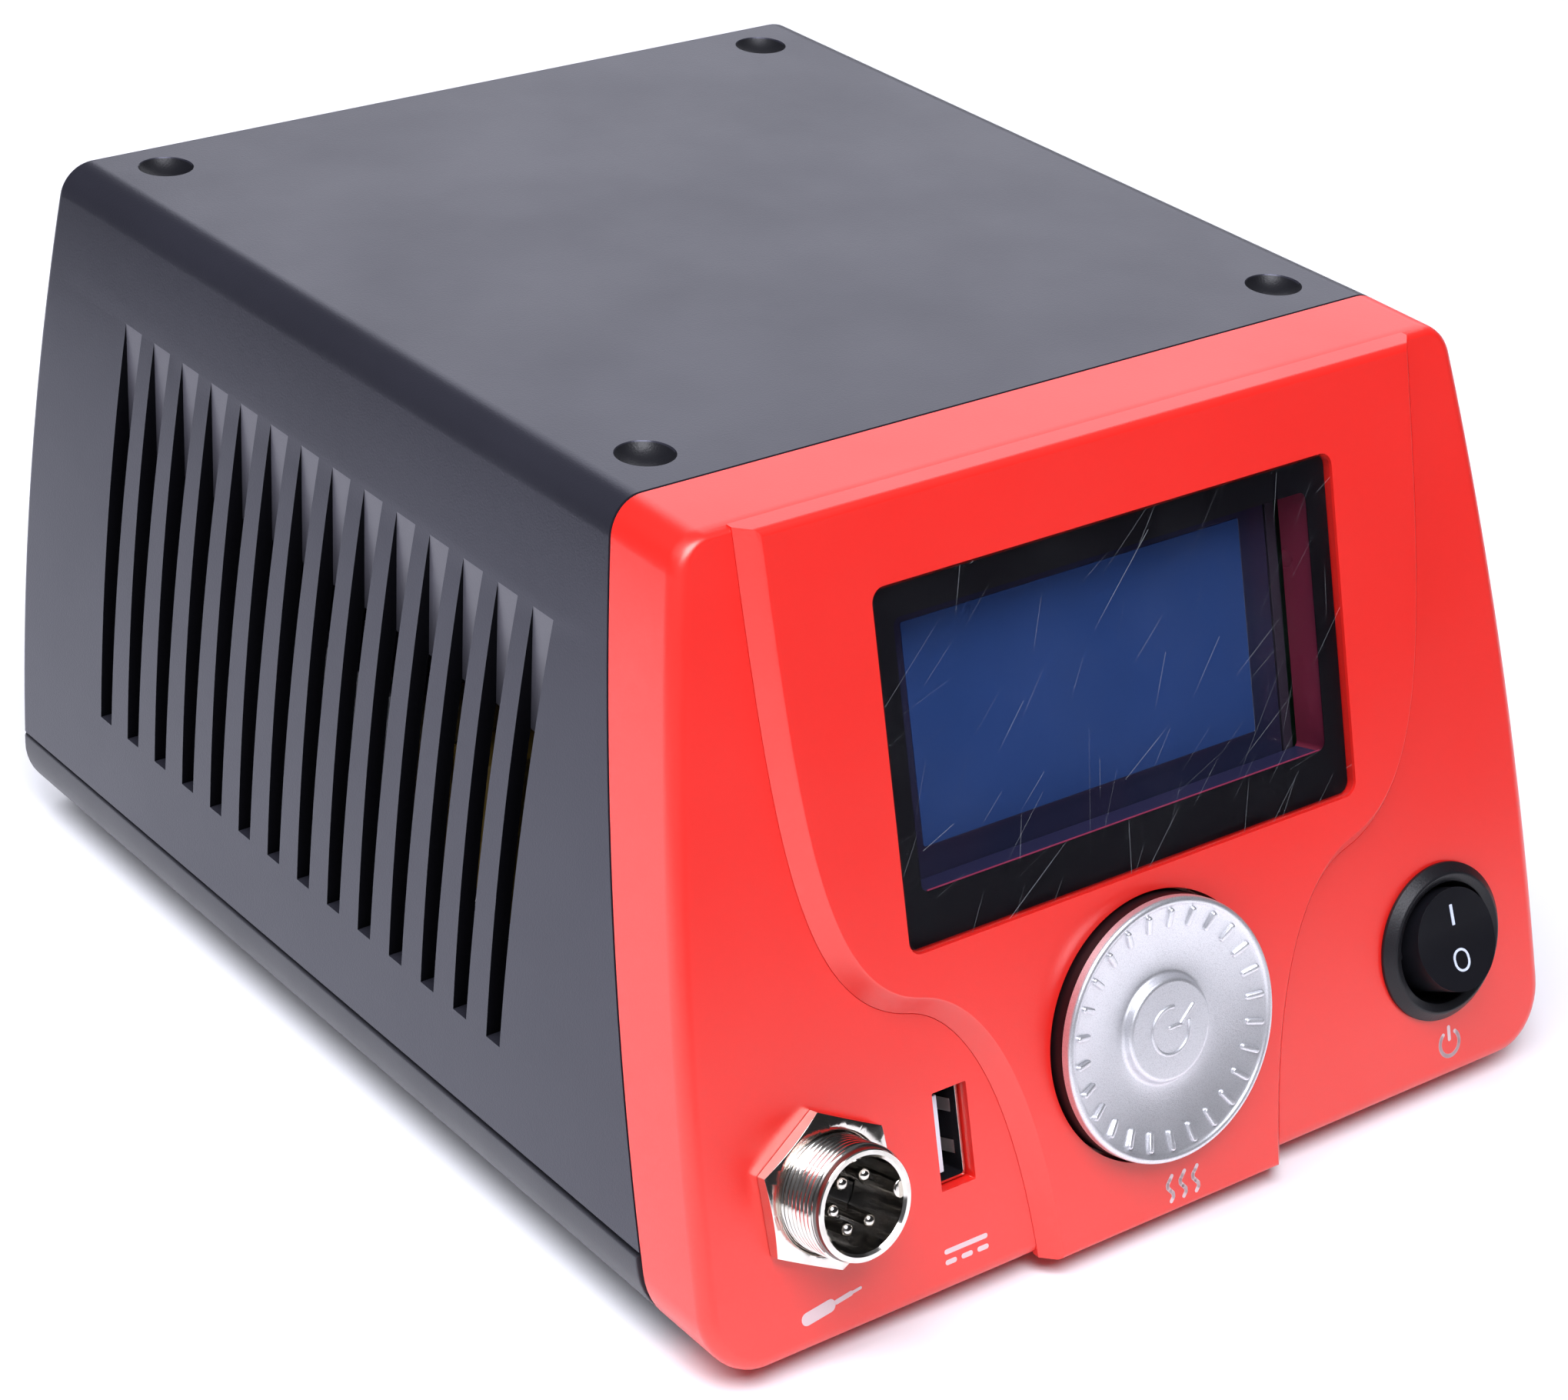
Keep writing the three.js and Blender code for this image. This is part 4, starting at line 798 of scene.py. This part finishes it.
def front_bezel():
    low_step = PANEL_STEP / math.cos(LEAN)
    bezel = new_object("bezel_shell", bezel_block(low_step, 2.2, 0.8), STATION)
    middle = new_object("middle", bezel_block(0, 0.9, 0.9), STATION)
    combine(middle, "INTERSECT", raised_panel(), place=PANEL)
    cut(bezel, foot_groove(), place=PANEL)
    boolean(bezel, "UNION", middle)
    hollow = bezel_block(low_step + WALL / math.cos(LEAN), 1, 1, WALL, SEAM + WALL)
    cut(bezel, hollow, place=STATION)
    back = LOW - WALL
    wall = rounded_rect(HOLE_WIDTH + 3, HOLE_HEIGHT + 3, 1, 0, HOLE_V)
    combine(bezel, "UNION", prism(wall, back - WELL_DEPTH, LOW + 0.2), place=PANEL)
    window = rounded_rect(WINDOW_WIDTH, WINDOW_HEIGHT, WINDOW_CORNER, 0, WINDOW_V, 8)
    hole = rounded_rect(HOLE_WIDTH, HOLE_HEIGHT, 0.8, 0, HOLE_V)
    usb = rounded_rect(USB_WIDTH, USB_HEIGHT, 0.25, USB_X, USB_V)
    cut(
        bezel,
        prism(window, -WINDOW_REBATE, 5),
        prism(hole, back - 10, 0),
        rod(KNOB_POCKET, -KNOB_POCKET_DEPTH, 5, 0, KNOB_V, 128),
        rod(4.2, back - 5, 0, 0, KNOB_V, 48),
        rod(ROCKER_BARREL + GAP, back - 5, 5, ROCKER_X, ROCKER_V, 96),
        rod(THREAD_RADIUS + GAP, back - 5, 5, SOCKET_X, SOCKET_V, 64),
        prism(usb, back - 5, 5),
        place=PANEL,
    )
    dress(bezel, (BEZEL, WELL, WELL_SHADE), "front_bezel", width=0.22, angle=38)
    # the window well's faces get the painted shade looks
    paint(bezel, PANEL, bezel_look)


# ---- the display


def display():
    """The pane, its printed border, the red line at its foot and the display behind it."""
    width, height = WINDOW_WIDTH - 2 * GAP, WINDOW_HEIGHT - 2 * GAP
    outline = rounded_rect(width, height, WINDOW_CORNER - GAP, 0, WINDOW_V, 8)
    front, back = -0.1, -0.1 - WINDOW_THICK
    pane = new_object("window_pane", prism(outline, back + 0.1, front), PANEL)
    dress(pane, CLEAR, "display_window", width=0.12)
    border = new_object("window_border", prism(outline, back - 0.05, back + 0.08), PANEL)
    clear = rounded_rect(CLEAR_WIDTH, CLEAR_HEIGHT, 1.2, 0, CLEAR_V, 6)
    cut(border, prism(clear, -5, 2), place=PANEL)
    dress(border, BORDER)
    foot = CLEAR_V - CLEAR_HEIGHT / 2
    half = CLEAR_WIDTH / 2 - 1
    line = block(-half, half, foot - 0.4, foot + 0.13, back - 0.25, back - 0.05)
    pink_strip = new_object("window_foot_line", line, PANEL)
    dress(pink_strip, PINK_LINE)
    glass_outline = rounded_rect(LCD_WIDTH, LCD_HEIGHT, 0.4, 0, LCD_V)
    glass = new_object("lcd_surround", prism(glass_outline, LCD_FRONT - 1.6, LCD_FRONT), PANEL)
    lit = rounded_rect(LIT_WIDTH, LIT_HEIGHT, 0.3, 0, LCD_V, 3)
    cut(glass, prism(lit, LCD_FRONT - 0.25, 0), place=PANEL)
    dress(glass, SURROUND, "lcd_glass", width=0.08, segments=1)
    area = new_object("lcd_area", prism(lit, LCD_FRONT - 0.2, LCD_FRONT - 0.02), PANEL)
    dress(area, DISPLAY)


# ---- the knob


def knob_profile():
    """From the middle of the face, out over the rim and back to the middle underneath."""
    r = KNOB_RADIUS
    start, floor = 8.6, 1.45  # where the hub meets the dish
    span, climb, steps = 8.3, 1.55, 24
    hub = [(0, 2.8), (7.05, 2.8), (7.5, floor), (start, floor)]
    hub = eased(hub, [0, 0.7, 0.9, 0], 8)
    dish = [
        (start + span * i / steps, floor + climb * (i / steps) ** 1.6) for i in range(1, steps + 1)
    ]
    rim = arc(r - BEAD, 2.75, BEAD, 140, 0, 14)
    skirt = [
        (r, 1.8), (r, -2.6), (r - 1.6, -2.6), (r - 1.7, -0.2), (5.4, -0.5), (5.2, -1.8), (0, -1.8),
    ]
    return hub + dish + rim + eased(skirt, [0, 0.3, 0.2, 0.3, 0.3, 0.2, 0])


def rounded_bar(length, width, height, round_top):
    """A bar that lies along X, with round ends and a rounded top."""
    base = rounded_rect(length, width, width / 2 * PILL, steps=5)
    rings = []
    for x, z in arc(0, 0, 1, 0, 84, 4):
        shrink = round_top * (1 - x)
        radius = (width / 2 - shrink) * PILL
        inner = rounded_rect(length - 2 * shrink, width - 2 * shrink, radius, steps=5)
        rings.append([(px, py, height - round_top + round_top * z) for px, py in inner])
    return loft([[(x, y, 0) for x, y in base], *rings])


def press_mark():
    """An open ring, and a bent stroke from its gap to its middle."""
    top, half, ring = 0.3, 0.28, 3.28  # height, half of the line's width, and ring radius
    rings = []
    for x, y in arc(0, 0, ring, 75, 372, 48):
        out = Vector((x, y)).normalized()
        inner = [(-half, 0), (-half, top * 0.6), (-half * 0.5, top)]
        section = inner + [(-a, z) for a, z in reversed(inner)]
        rings.append([(x + out.x * a, y + out.y * a, z) for a, z in section])
    stem = rotated(rounded_bar(3.9, 0.56, top, 0.18), 39, "Z")
    foot = rounded_bar(2.5, 0.56, top, 0.18)
    shapes = [moved(loft(rings), 0, -0.1), moved(stem, 2.9, 1.35), moved(foot, 0.75, 0.36)]
    return [moved(shape, 0, 0, 2.75) for shape in shapes]


def control_knob():
    place = on_panel(0, KNOB_V)
    knob = new_object("knob", turned(knob_profile(), 160), place)
    ticks, out, height = 26, 15.4, 2.46
    bar = moved(rotated(rounded_bar(2.9, 0.9, 0.62, 0.32), -DISH_SLOPE, "Y"), out, 0, height)
    bars = [rotated(bar, (i + 0.05) * 360 / ticks, "Z") for i in range(ticks)]
    marks = new_object("knob_marks", together(*bars, *press_mark()), place)
    dress(marks, KNOB_PAINT, body="knob", width=0.05, segments=1)
    dress(knob, (KNOB_PAINT, KNOB_SIDE_SHADE), "control_knob", body="knob")

    # the knob's side below the rim takes the painted shade
    def on_side(middle, _):
        return int(math.hypot(middle.x, middle.y) > KNOB_RADIUS - 0.2 and middle.z < 1.0)

    paint(knob, place, on_side)


# ---- the mains switch


def rocker_housing():
    o, f, b = ROCKER_OPENING, ROCKER_FLANGE, ROCKER_BARREL
    corners = [
        (0, LOW - 11), (o, LOW - 11), (o, LOW + 1.35), (10.1, LOW + 1.85), (f, LOW + 0.55),
        (f, LOW + 0.1), (b, LOW + 0.1), (b, LOW - 15), (0, LOW - 15),
    ]
    profile = eased(corners, [0, 0.3, 0.25, 0.5, 0.2, 0.05, 0, 0.5, 0], 5)
    ring = new_object("switch_ring", turned(profile, 128), on_panel(ROCKER_X, ROCKER_V))
    dress(ring, BLACK, "rocker_housing")


def rocker_button():
    """A drum about its axle, whose face is a shallow V."""
    place = on_panel(ROCKER_X, ROCKER_V, ROCKER_PIVOT) @ Matrix.Rotation(-ROCKER_TILT, 4, "X")
    radius, rise, half = ROCKER_BUTTON, 4.6, 9
    drum = eased([(0, -3), (radius, -3), (radius, 8), (0, 8)], [0, 0.5, 0.1, 0])
    button = new_object("rocker", turned(drum, 128), place)
    lift = rise + half * ROCKER_FACE
    valley = arc(0, rise + 40.05, 40, -92.5, -87.5, 8)[::-1]
    ramps = [(-half, -5), (half, -5), (half, lift), *valley, (-half, lift)]
    under = rotated(rotated(prism(ramps, -half, half), 90, "X"), 90, "Z")
    combine(button, "INTERSECT", under, place=place)
    axle = rotated(rod(1.1, -9.1, 9.1, sides=32), 90, "Y")
    combine(button, "UNION", axle, place=place)
    dress(button, BUTTON, "rocker_button", "rocker", 0.35, 3, 30)
    low_half, high_half = place @ face_place(-3.0, rise), place @ face_place(3.6, rise)
    ring = prism(rounded_rect(3.0, 3.35, 1.48, steps=10), 0, 0.1)
    mark = new_object("switch_mark", ring, low_half)
    cut(mark, prism(rounded_rect(2.3, 2.65, 1.13, steps=10), -1, 1), place=low_half)
    bar = new_object("on_mark", prism(rounded_rect(0.5, 3.0, 0.05, steps=2), 0, 0.1), high_half)
    for obj in (mark, bar):
        dress(obj, SWITCH_PRINT, body="rocker")


def face_place(v, rise):
    """A place on one half of the button's V-shaped face, just proud of it."""
    slope = math.copysign(ROCKER_FACE, v)
    height = rise + abs(v) * ROCKER_FACE - 0.04
    return Matrix.Translation((0, v, height)) @ Matrix.Rotation(math.atan(slope), 4, "X")


# ---- the iron's socket


def threaded_tube():
    """A tube with a helical thread outside, which fades at both ends, and a plain bore inside."""
    sides, per_turn, depth = 96, 8, 0.42  # per_turn is the rings in one turn of the thread
    front, start, back = LOW + SOCKET_REACH, LOW + 0.6, LOW - WALL - GAP
    rows = int((front - 0.75 - start) / THREAD_PITCH * per_turn)
    root = THREAD_RADIUS - depth
    profile = [
        (BORE_RADIUS, back - 6), (8.6, back - 6), (8.6, back - 2.2), (10, back - 2), (10, back),
        (root, back), (root, start - 0.1),
    ]
    rings = [[(r, z)] * sides for r, z in profile]
    for row in range(rows + 1):
        z = start + row * THREAD_PITCH / per_turn
        fade = min(1, row / 6, (rows - row) / 6)
        ring = []
        for i in range(sides):
            phase = (row / per_turn - i / sides) % 1
            crest = 1 - abs(2 * phase - 1)
            ring.append((root + depth * fade * min(1, 1.35 * crest), z))
        rings.append(ring)
    lip = [
        (root, front - 0.6), (root, front - 0.15), (THREAD_RADIUS - 0.55, front),
        (BORE_RADIUS + 0.35, front), (BORE_RADIUS, front - 0.35),
    ]
    rings += [[(r, z)] * sides for r, z in lip]
    rings.append(rings[0])
    corners = []
    for ring in rings[:-1]:
        for i, (r, z) in enumerate(ring):
            angle = 2 * math.pi * i / sides
            corners.append((r * math.cos(angle), r * math.sin(angle), z))
    faces = []
    count = len(rings) - 1
    for k in range(count):
        for i in range(sides):
            j = (i + 1) % sides
            n = (k + 1) % count
            faces.append([k * sides + i, k * sides + j, n * sides + j, n * sides + i])
    return corners, faces


def iron_socket():
    place = on_panel(SOCKET_X, SOCKET_V)
    front = LOW + SOCKET_REACH
    shell = new_object("socket_thread", threaded_tube(), place)
    low, high = LOW - 3, front - 0.8
    corners = [(0, low), (KEY_RADIUS, low), (KEY_RADIUS, high), (0, high)]
    key = moved(turned(eased(corners, [0, 0, 0.3, 0]), 40), BORE_RADIUS + 0.3)
    inside = new_object("socket_key", key, place)
    combine(inside, "INTERSECT", rod(BORE_RADIUS + 0.7, -50, 50, sides=96), place=place)
    dress(inside, NICKEL, width=0.05, segments=1)
    dress(shell, (NICKEL, THREAD_GROOVE_SHADE), "socket_shell")

    # faces down in the thread's grooves take the painted shade
    def in_groove(middle, _):
        out = math.hypot(middle.x, middle.y)
        between = BORE_RADIUS + 0.3 < out < THREAD_RADIUS - 0.24
        return int(LOW < middle.z < front - 0.2 and between)

    paint(shell, place, in_groove)
    socket_nut(place)
    socket_inside(place, front)


def socket_nut(place):
    reach = NUT_WIDTH / 2 / math.cos(math.radians(30))
    hexagon = arc(0, 0, reach, 33, 333, 5)  # turned 3 degrees, as it was tightened
    nut = new_object("nut", prism(hexagon, LOW + 0.05, LOW + 2.15), place)
    cone = turned([(0, LOW), (12, LOW), (12, LOW + 1.25), (9.3, LOW + 2.15), (0, LOW + 2.15)], 128)
    combine(nut, "INTERSECT", cone, place=place)
    corners = [(0, LOW - 1), (THREAD_RADIUS + 0.1, LOW - 1), (THREAD_RADIUS + 0.1, LOW + 1.75),
               (THREAD_RADIUS + 0.6, LOW + 2.25), (0, LOW + 2.25)]
    cut(nut, turned(eased(corners, 0), 96), place=place)
    dress(nut, NICKEL, "socket_nut", width=0.1, angle=20)


def socket_inside(place, front):
    back = LOW - WALL - GAP - 7
    floor = LOW - 1.5
    disc = new_object("insulator", rod(BORE_RADIUS - 0.1, back, floor, sides=96), place)
    key = rod(KEY_RADIUS + GAP, -30, 10, BORE_RADIUS + 0.35, 0, 32)
    cut(disc, key, place=place)
    dress(disc, INSULATOR, "socket_insulator", width=0.15)
    radius, tip, circle = 0.95, front - 1.5, 3.6  # circle is where the contacts stand
    dome = arc(0, tip - radius, radius, 0, 90, 8)
    pin = turned([(0, LOW - 13), (radius, LOW - 13), *dome], 32)
    for i in range(5):
        angle = math.radians(60 * (i + 1))
        x, y = circle * math.cos(angle), circle * math.sin(angle)
        contact = new_object(f"contact_{i + 1}", moved(pin, x, y), place)
        dress(contact, NICKEL, f"socket_pin_{i + 1}")


# ---- the USB outlet


def usb_outlet():
    place = on_panel(USB_X, USB_V)
    front, back = LOW - USB_RECESS, -14.1
    outer = rounded_rect(USB_WIDTH - 0.6, USB_HEIGHT - 0.6, 0.5)
    shell = new_object("usb_can", prism(outer, back, front), place)
    inner = rounded_rect(USB_WIDTH - 1.3, USB_HEIGHT - 1.3, 0.35)
    cut(shell, prism(inner, back + 1.2, 0), place=place)
    dress(shell, (NICKEL, BLACK), "usb_shell", width=0.08)

    # the can's inner faces take the black plastic as painted shade inside the opening
    def inside(middle, _):
        within = abs(middle.x) < USB_WIDTH / 2 - 0.6 and abs(middle.y) < USB_HEIGHT / 2 - 0.6
        return int(within and middle.z < front - 0.3)

    paint(shell, place, inside)
    tongue = new_object("usb_core", block(-1.9, -0.4, -5.4, 5.4, back + 1.5, front - 0.6), place)
    dress(tongue, WHITE, "usb_tongue", width=0.15)
    springs = []
    for v in (-2.9, 2.9):
        leaf = [(2.16, -1), (1.55, -4.2), (1.75, -5.2), (2.0, -5.2), (1.85, -4.2), (2.2, -1.2)]
        bent = rotated(prism(eased(leaf, 0.1, 2, closed=True), -0.95, 0.95), 90, "X")
        springs.append(moved(bent, 0, v, front - 0.2))
    leaves = new_object("usb_springs", together(*springs), place)
    dress(leaves, NICKEL, width=0.06, segments=1)


# ---- printed marks on the bezel


def stroke(points, width):
    """Short bars along a line of points, joined at their round ends."""
    shapes = []
    for start, end in zip(points, points[1:]):
        along = Vector(end) - Vector(start)
        outline = rounded_rect(along.length + width, width, width / 2 * PILL, steps=4)
        bar = prism(outline, 0, 0.05)
        turn = math.degrees(math.atan2(along.y, along.x))
        middle = (Vector(start) + Vector(end)) / 2
        shapes.append(moved(rotated(bar, turn, "Z"), middle.x, middle.y))
    return together(*shapes)


def printed_marks():
    """Plain pictures under the controls: an iron, direct current, heat and power."""
    iron = together(
        stroke([(-4.2, -0.6), (-0.5, -0.1)], 1.8), stroke([(0.6, 0.05), (3.0, 0.4)], 0.7),
        stroke([(3.0, 0.4), (4.6, 0.6)], 0.4),
    )
    current = together(
        stroke([(-3.3, 1.4), (3.3, 1.4)], 0.7),
        *[stroke([(x - 0.6, -0.1), (x + 0.6, -0.1)], 0.7) for x in (-2.7, 0, 2.7)],
    )
    heat = together(*[
        stroke([(x + 0.5 * math.sin(k * 1.05), -1.7 + k * 0.5) for k in range(8)], 0.6)
        for x in (-2.3, 0, 2.3)
    ])
    power = together(stroke(arc(0, 0, 1.9, 128, 412, 22), 0.6), stroke([(0, 0.6), (0, 2.4)], 0.6))
    marks = [("iron_mark", iron, -56, 6.3, LOW), ("current_mark", current, -33.8, 5.4, LOW),
             ("heat_mark", heat, 2, 3.6, 0), ("power_mark", power, 56.1, 6.2, LOW)]
    for name, shape, x, v, height in marks:
        mark = new_object(name, shape, on_panel(x, v, height - 0.01))
        dress(mark, PRINT, width=None)


# ---- feet, the rear and the inside


def feet():
    radius = 5.5
    corners = [(0, 0), (radius - 0.5, 0), (radius, 2.6), (0, 2.6)]
    shape = turned(eased(corners, [0, 0.7, 0.2, 0]), 64)
    for side, x in (("left", -DIMPLE_X), ("right", DIMPLE_X)):
        for end, y in (("front", DIMPLE_FRONT), ("rear", DIMPLE_REAR)):
            foot = new_object(f"pad_{end}_{side}", moved(shape, x, y), STATION)
            dress(foot, RUBBER, f"foot_{end}_{side}")


KEPT_NODES = (
    (LCD_FRAME, "lcd_frame"),
    (BOARD, "control_board power_board"),
    (STEEL, "encoder_body encoder_shaft transformer_core transformer_strap"),
    (WHITE, "encoder_rotor terminal_block"),
    (BRASS, "rocker_terminal_upper rocker_terminal_lower earth_jack_nut"),
    (BRASS, "inlet_pin_live inlet_pin_neutral inlet_pin_earth"),
    (ZINC, "board_screw_1 board_screw_2 board_screw_3 board_screw_4"),
    (ZINC, "case_screw_1 case_screw_2 case_screw_3 case_screw_4"),
    (ZINC, "strap_screw_left strap_screw_right"),
    (HOUSING, "rear_plate"),
    (BLACK, "inlet_body fuse_drawer"),
    (FUSE_GLASS, "mains_fuse"),
    (EARTH, "earth_jack"),
    (TAPE, "transformer_coil"),
    (SLEEVE, "filter_capacitor power_transistor"),
    (ANODISED, "heat_sink"),
)


def kept_nodes():
    """The CAD nodes whose shape is right get their look and rounded edges."""
    for look, names in KEPT_NODES:
        for name in names.split():
            node = frame["nodes"][name]
            node.data.materials.clear()
            node.data.materials.append(look)
            round_edges(node, 0.15, miter="MITER_SHARP")
            even_normals(node)
            node.data.shade_smooth()


# ---- the studio, in metres and degrees

TINT = (0.9, 0.91, 1)  # the lights and the world are a little cool
WORLD_STRENGTH = 0.12
AIM = (0, 0, 0.05)  # the lights point here
LIGHTS = (  # name, place, width, height, watts, and whether glossy surfaces show it
    ("key", (-0.27, -0.6, 1.12), 0.8, 0.8, 20, True),
    ("left_overhead", (-0.85, 0.25, 1.5), 1.2, 1.2, 30, False),
    ("back_softbox", (1.05, 1.12, 0.85), 1.25, 1.1, 6.5, True),
)
CARDS = (  # name, place, turn, and half the width and the height in millimetres
    ("front_card", (0.14, -0.27, 0), 34, 420, 420),
    ("side_card", (-0.38, 0.3, 0), 45, 650, 1000),
)
FLOOR_HALF = 4000  # millimetres
LENS, SENSOR = 94.557, 36  # millimetres
YAW, PITCH, ROLL = (math.radians(a) for a in (39.461, -28.45, 3.828))
CAMERA_PLACE = (-0.334607, PANEL_FOOT.y - 0.316594, 0.325203)


def floor():
    look = Look("pale_floor", (0.86, 0.86, 0.865), 0.7)
    look.tint((0.84, 0.84, 0.845), 300)
    half = FLOOR_HALF
    ground = new_object("floor", block(-half, half, -half, half, -20, -0.01), Matrix.Scale(MM, 4))
    ground.data.materials.append(look.material)


def area_light(name, place, width, height, power, in_gloss):
    data = bpy.data.lights.new(name, "AREA")
    data.shape = "RECTANGLE"
    data.size, data.size_y = width, height
    data.energy = power
    data.color = TINT
    light = bpy.data.objects.new(name, data)
    light.location = place
    light.rotation_euler = (Vector(AIM) - Vector(place)).to_track_quat("-Z", "Y").to_euler()
    light.visible_glossy = in_gloss
    bpy.context.scene.collection.objects.link(light)


def studio():
    """A dim world, three soft lights, and two dark cards that only reflections show."""
    world = bpy.data.worlds.new("studio")
    world.use_nodes = True
    background = world.node_tree.nodes["Background"]
    background.inputs["Color"].default_value = (*TINT, 1)
    background.inputs["Strength"].default_value = WORLD_STRENGTH
    bpy.context.scene.world = world
    bpy.context.scene.view_settings.view_transform = "Standard"
    for light in LIGHTS:
        area_light(*light)
    look = Look("dark_card", (0.01, 0.01, 0.01), 0.9)
    look.tint((0.012, 0.012, 0.012), 100)
    for name, corner, turn, half, height in CARDS:
        place = Matrix.Translation(corner) @ Matrix.Rotation(math.radians(turn), 4, "Z")
        shape = block(-half, half, -2, 0, 0, height)
        card = new_object(name, shape, place @ Matrix.Scale(MM, 4))
        card.data.materials.append(look.material)
        card.visible_camera = False
        card.visible_diffuse = False
        card.visible_shadow = False


def camera():
    data = bpy.data.cameras.new("camera")
    data.sensor_width = SENSOR
    data.lens = LENS
    data.clip_start, data.clip_end = 0.01, 20
    cam = bpy.data.objects.new("camera", data)
    level = math.cos(PITCH)
    ahead = Vector((math.sin(YAW) * level, math.cos(YAW) * level, math.sin(PITCH)))
    across = ahead.cross(Vector((0, 0, 1))).normalized()
    above = across.cross(ahead)
    cam_x = across * math.cos(ROLL) + above * math.sin(ROLL)
    cam_y = above * math.cos(ROLL) - across * math.sin(ROLL)
    turn = Matrix((cam_x, cam_y, -ahead)).transposed().to_4x4()
    cam.matrix_world = Matrix.Translation(CAMERA_PLACE) @ turn
    bpy.context.scene.collection.objects.link(cam)
    bpy.context.scene.camera = cam


camera()
studio()
floor()
upper_housing()
base_tray()
front_bezel()
display()
control_knob()
rocker_housing()
rocker_button()
iron_socket()
usb_outlet()
printed_marks()
feet()
kept_nodes()
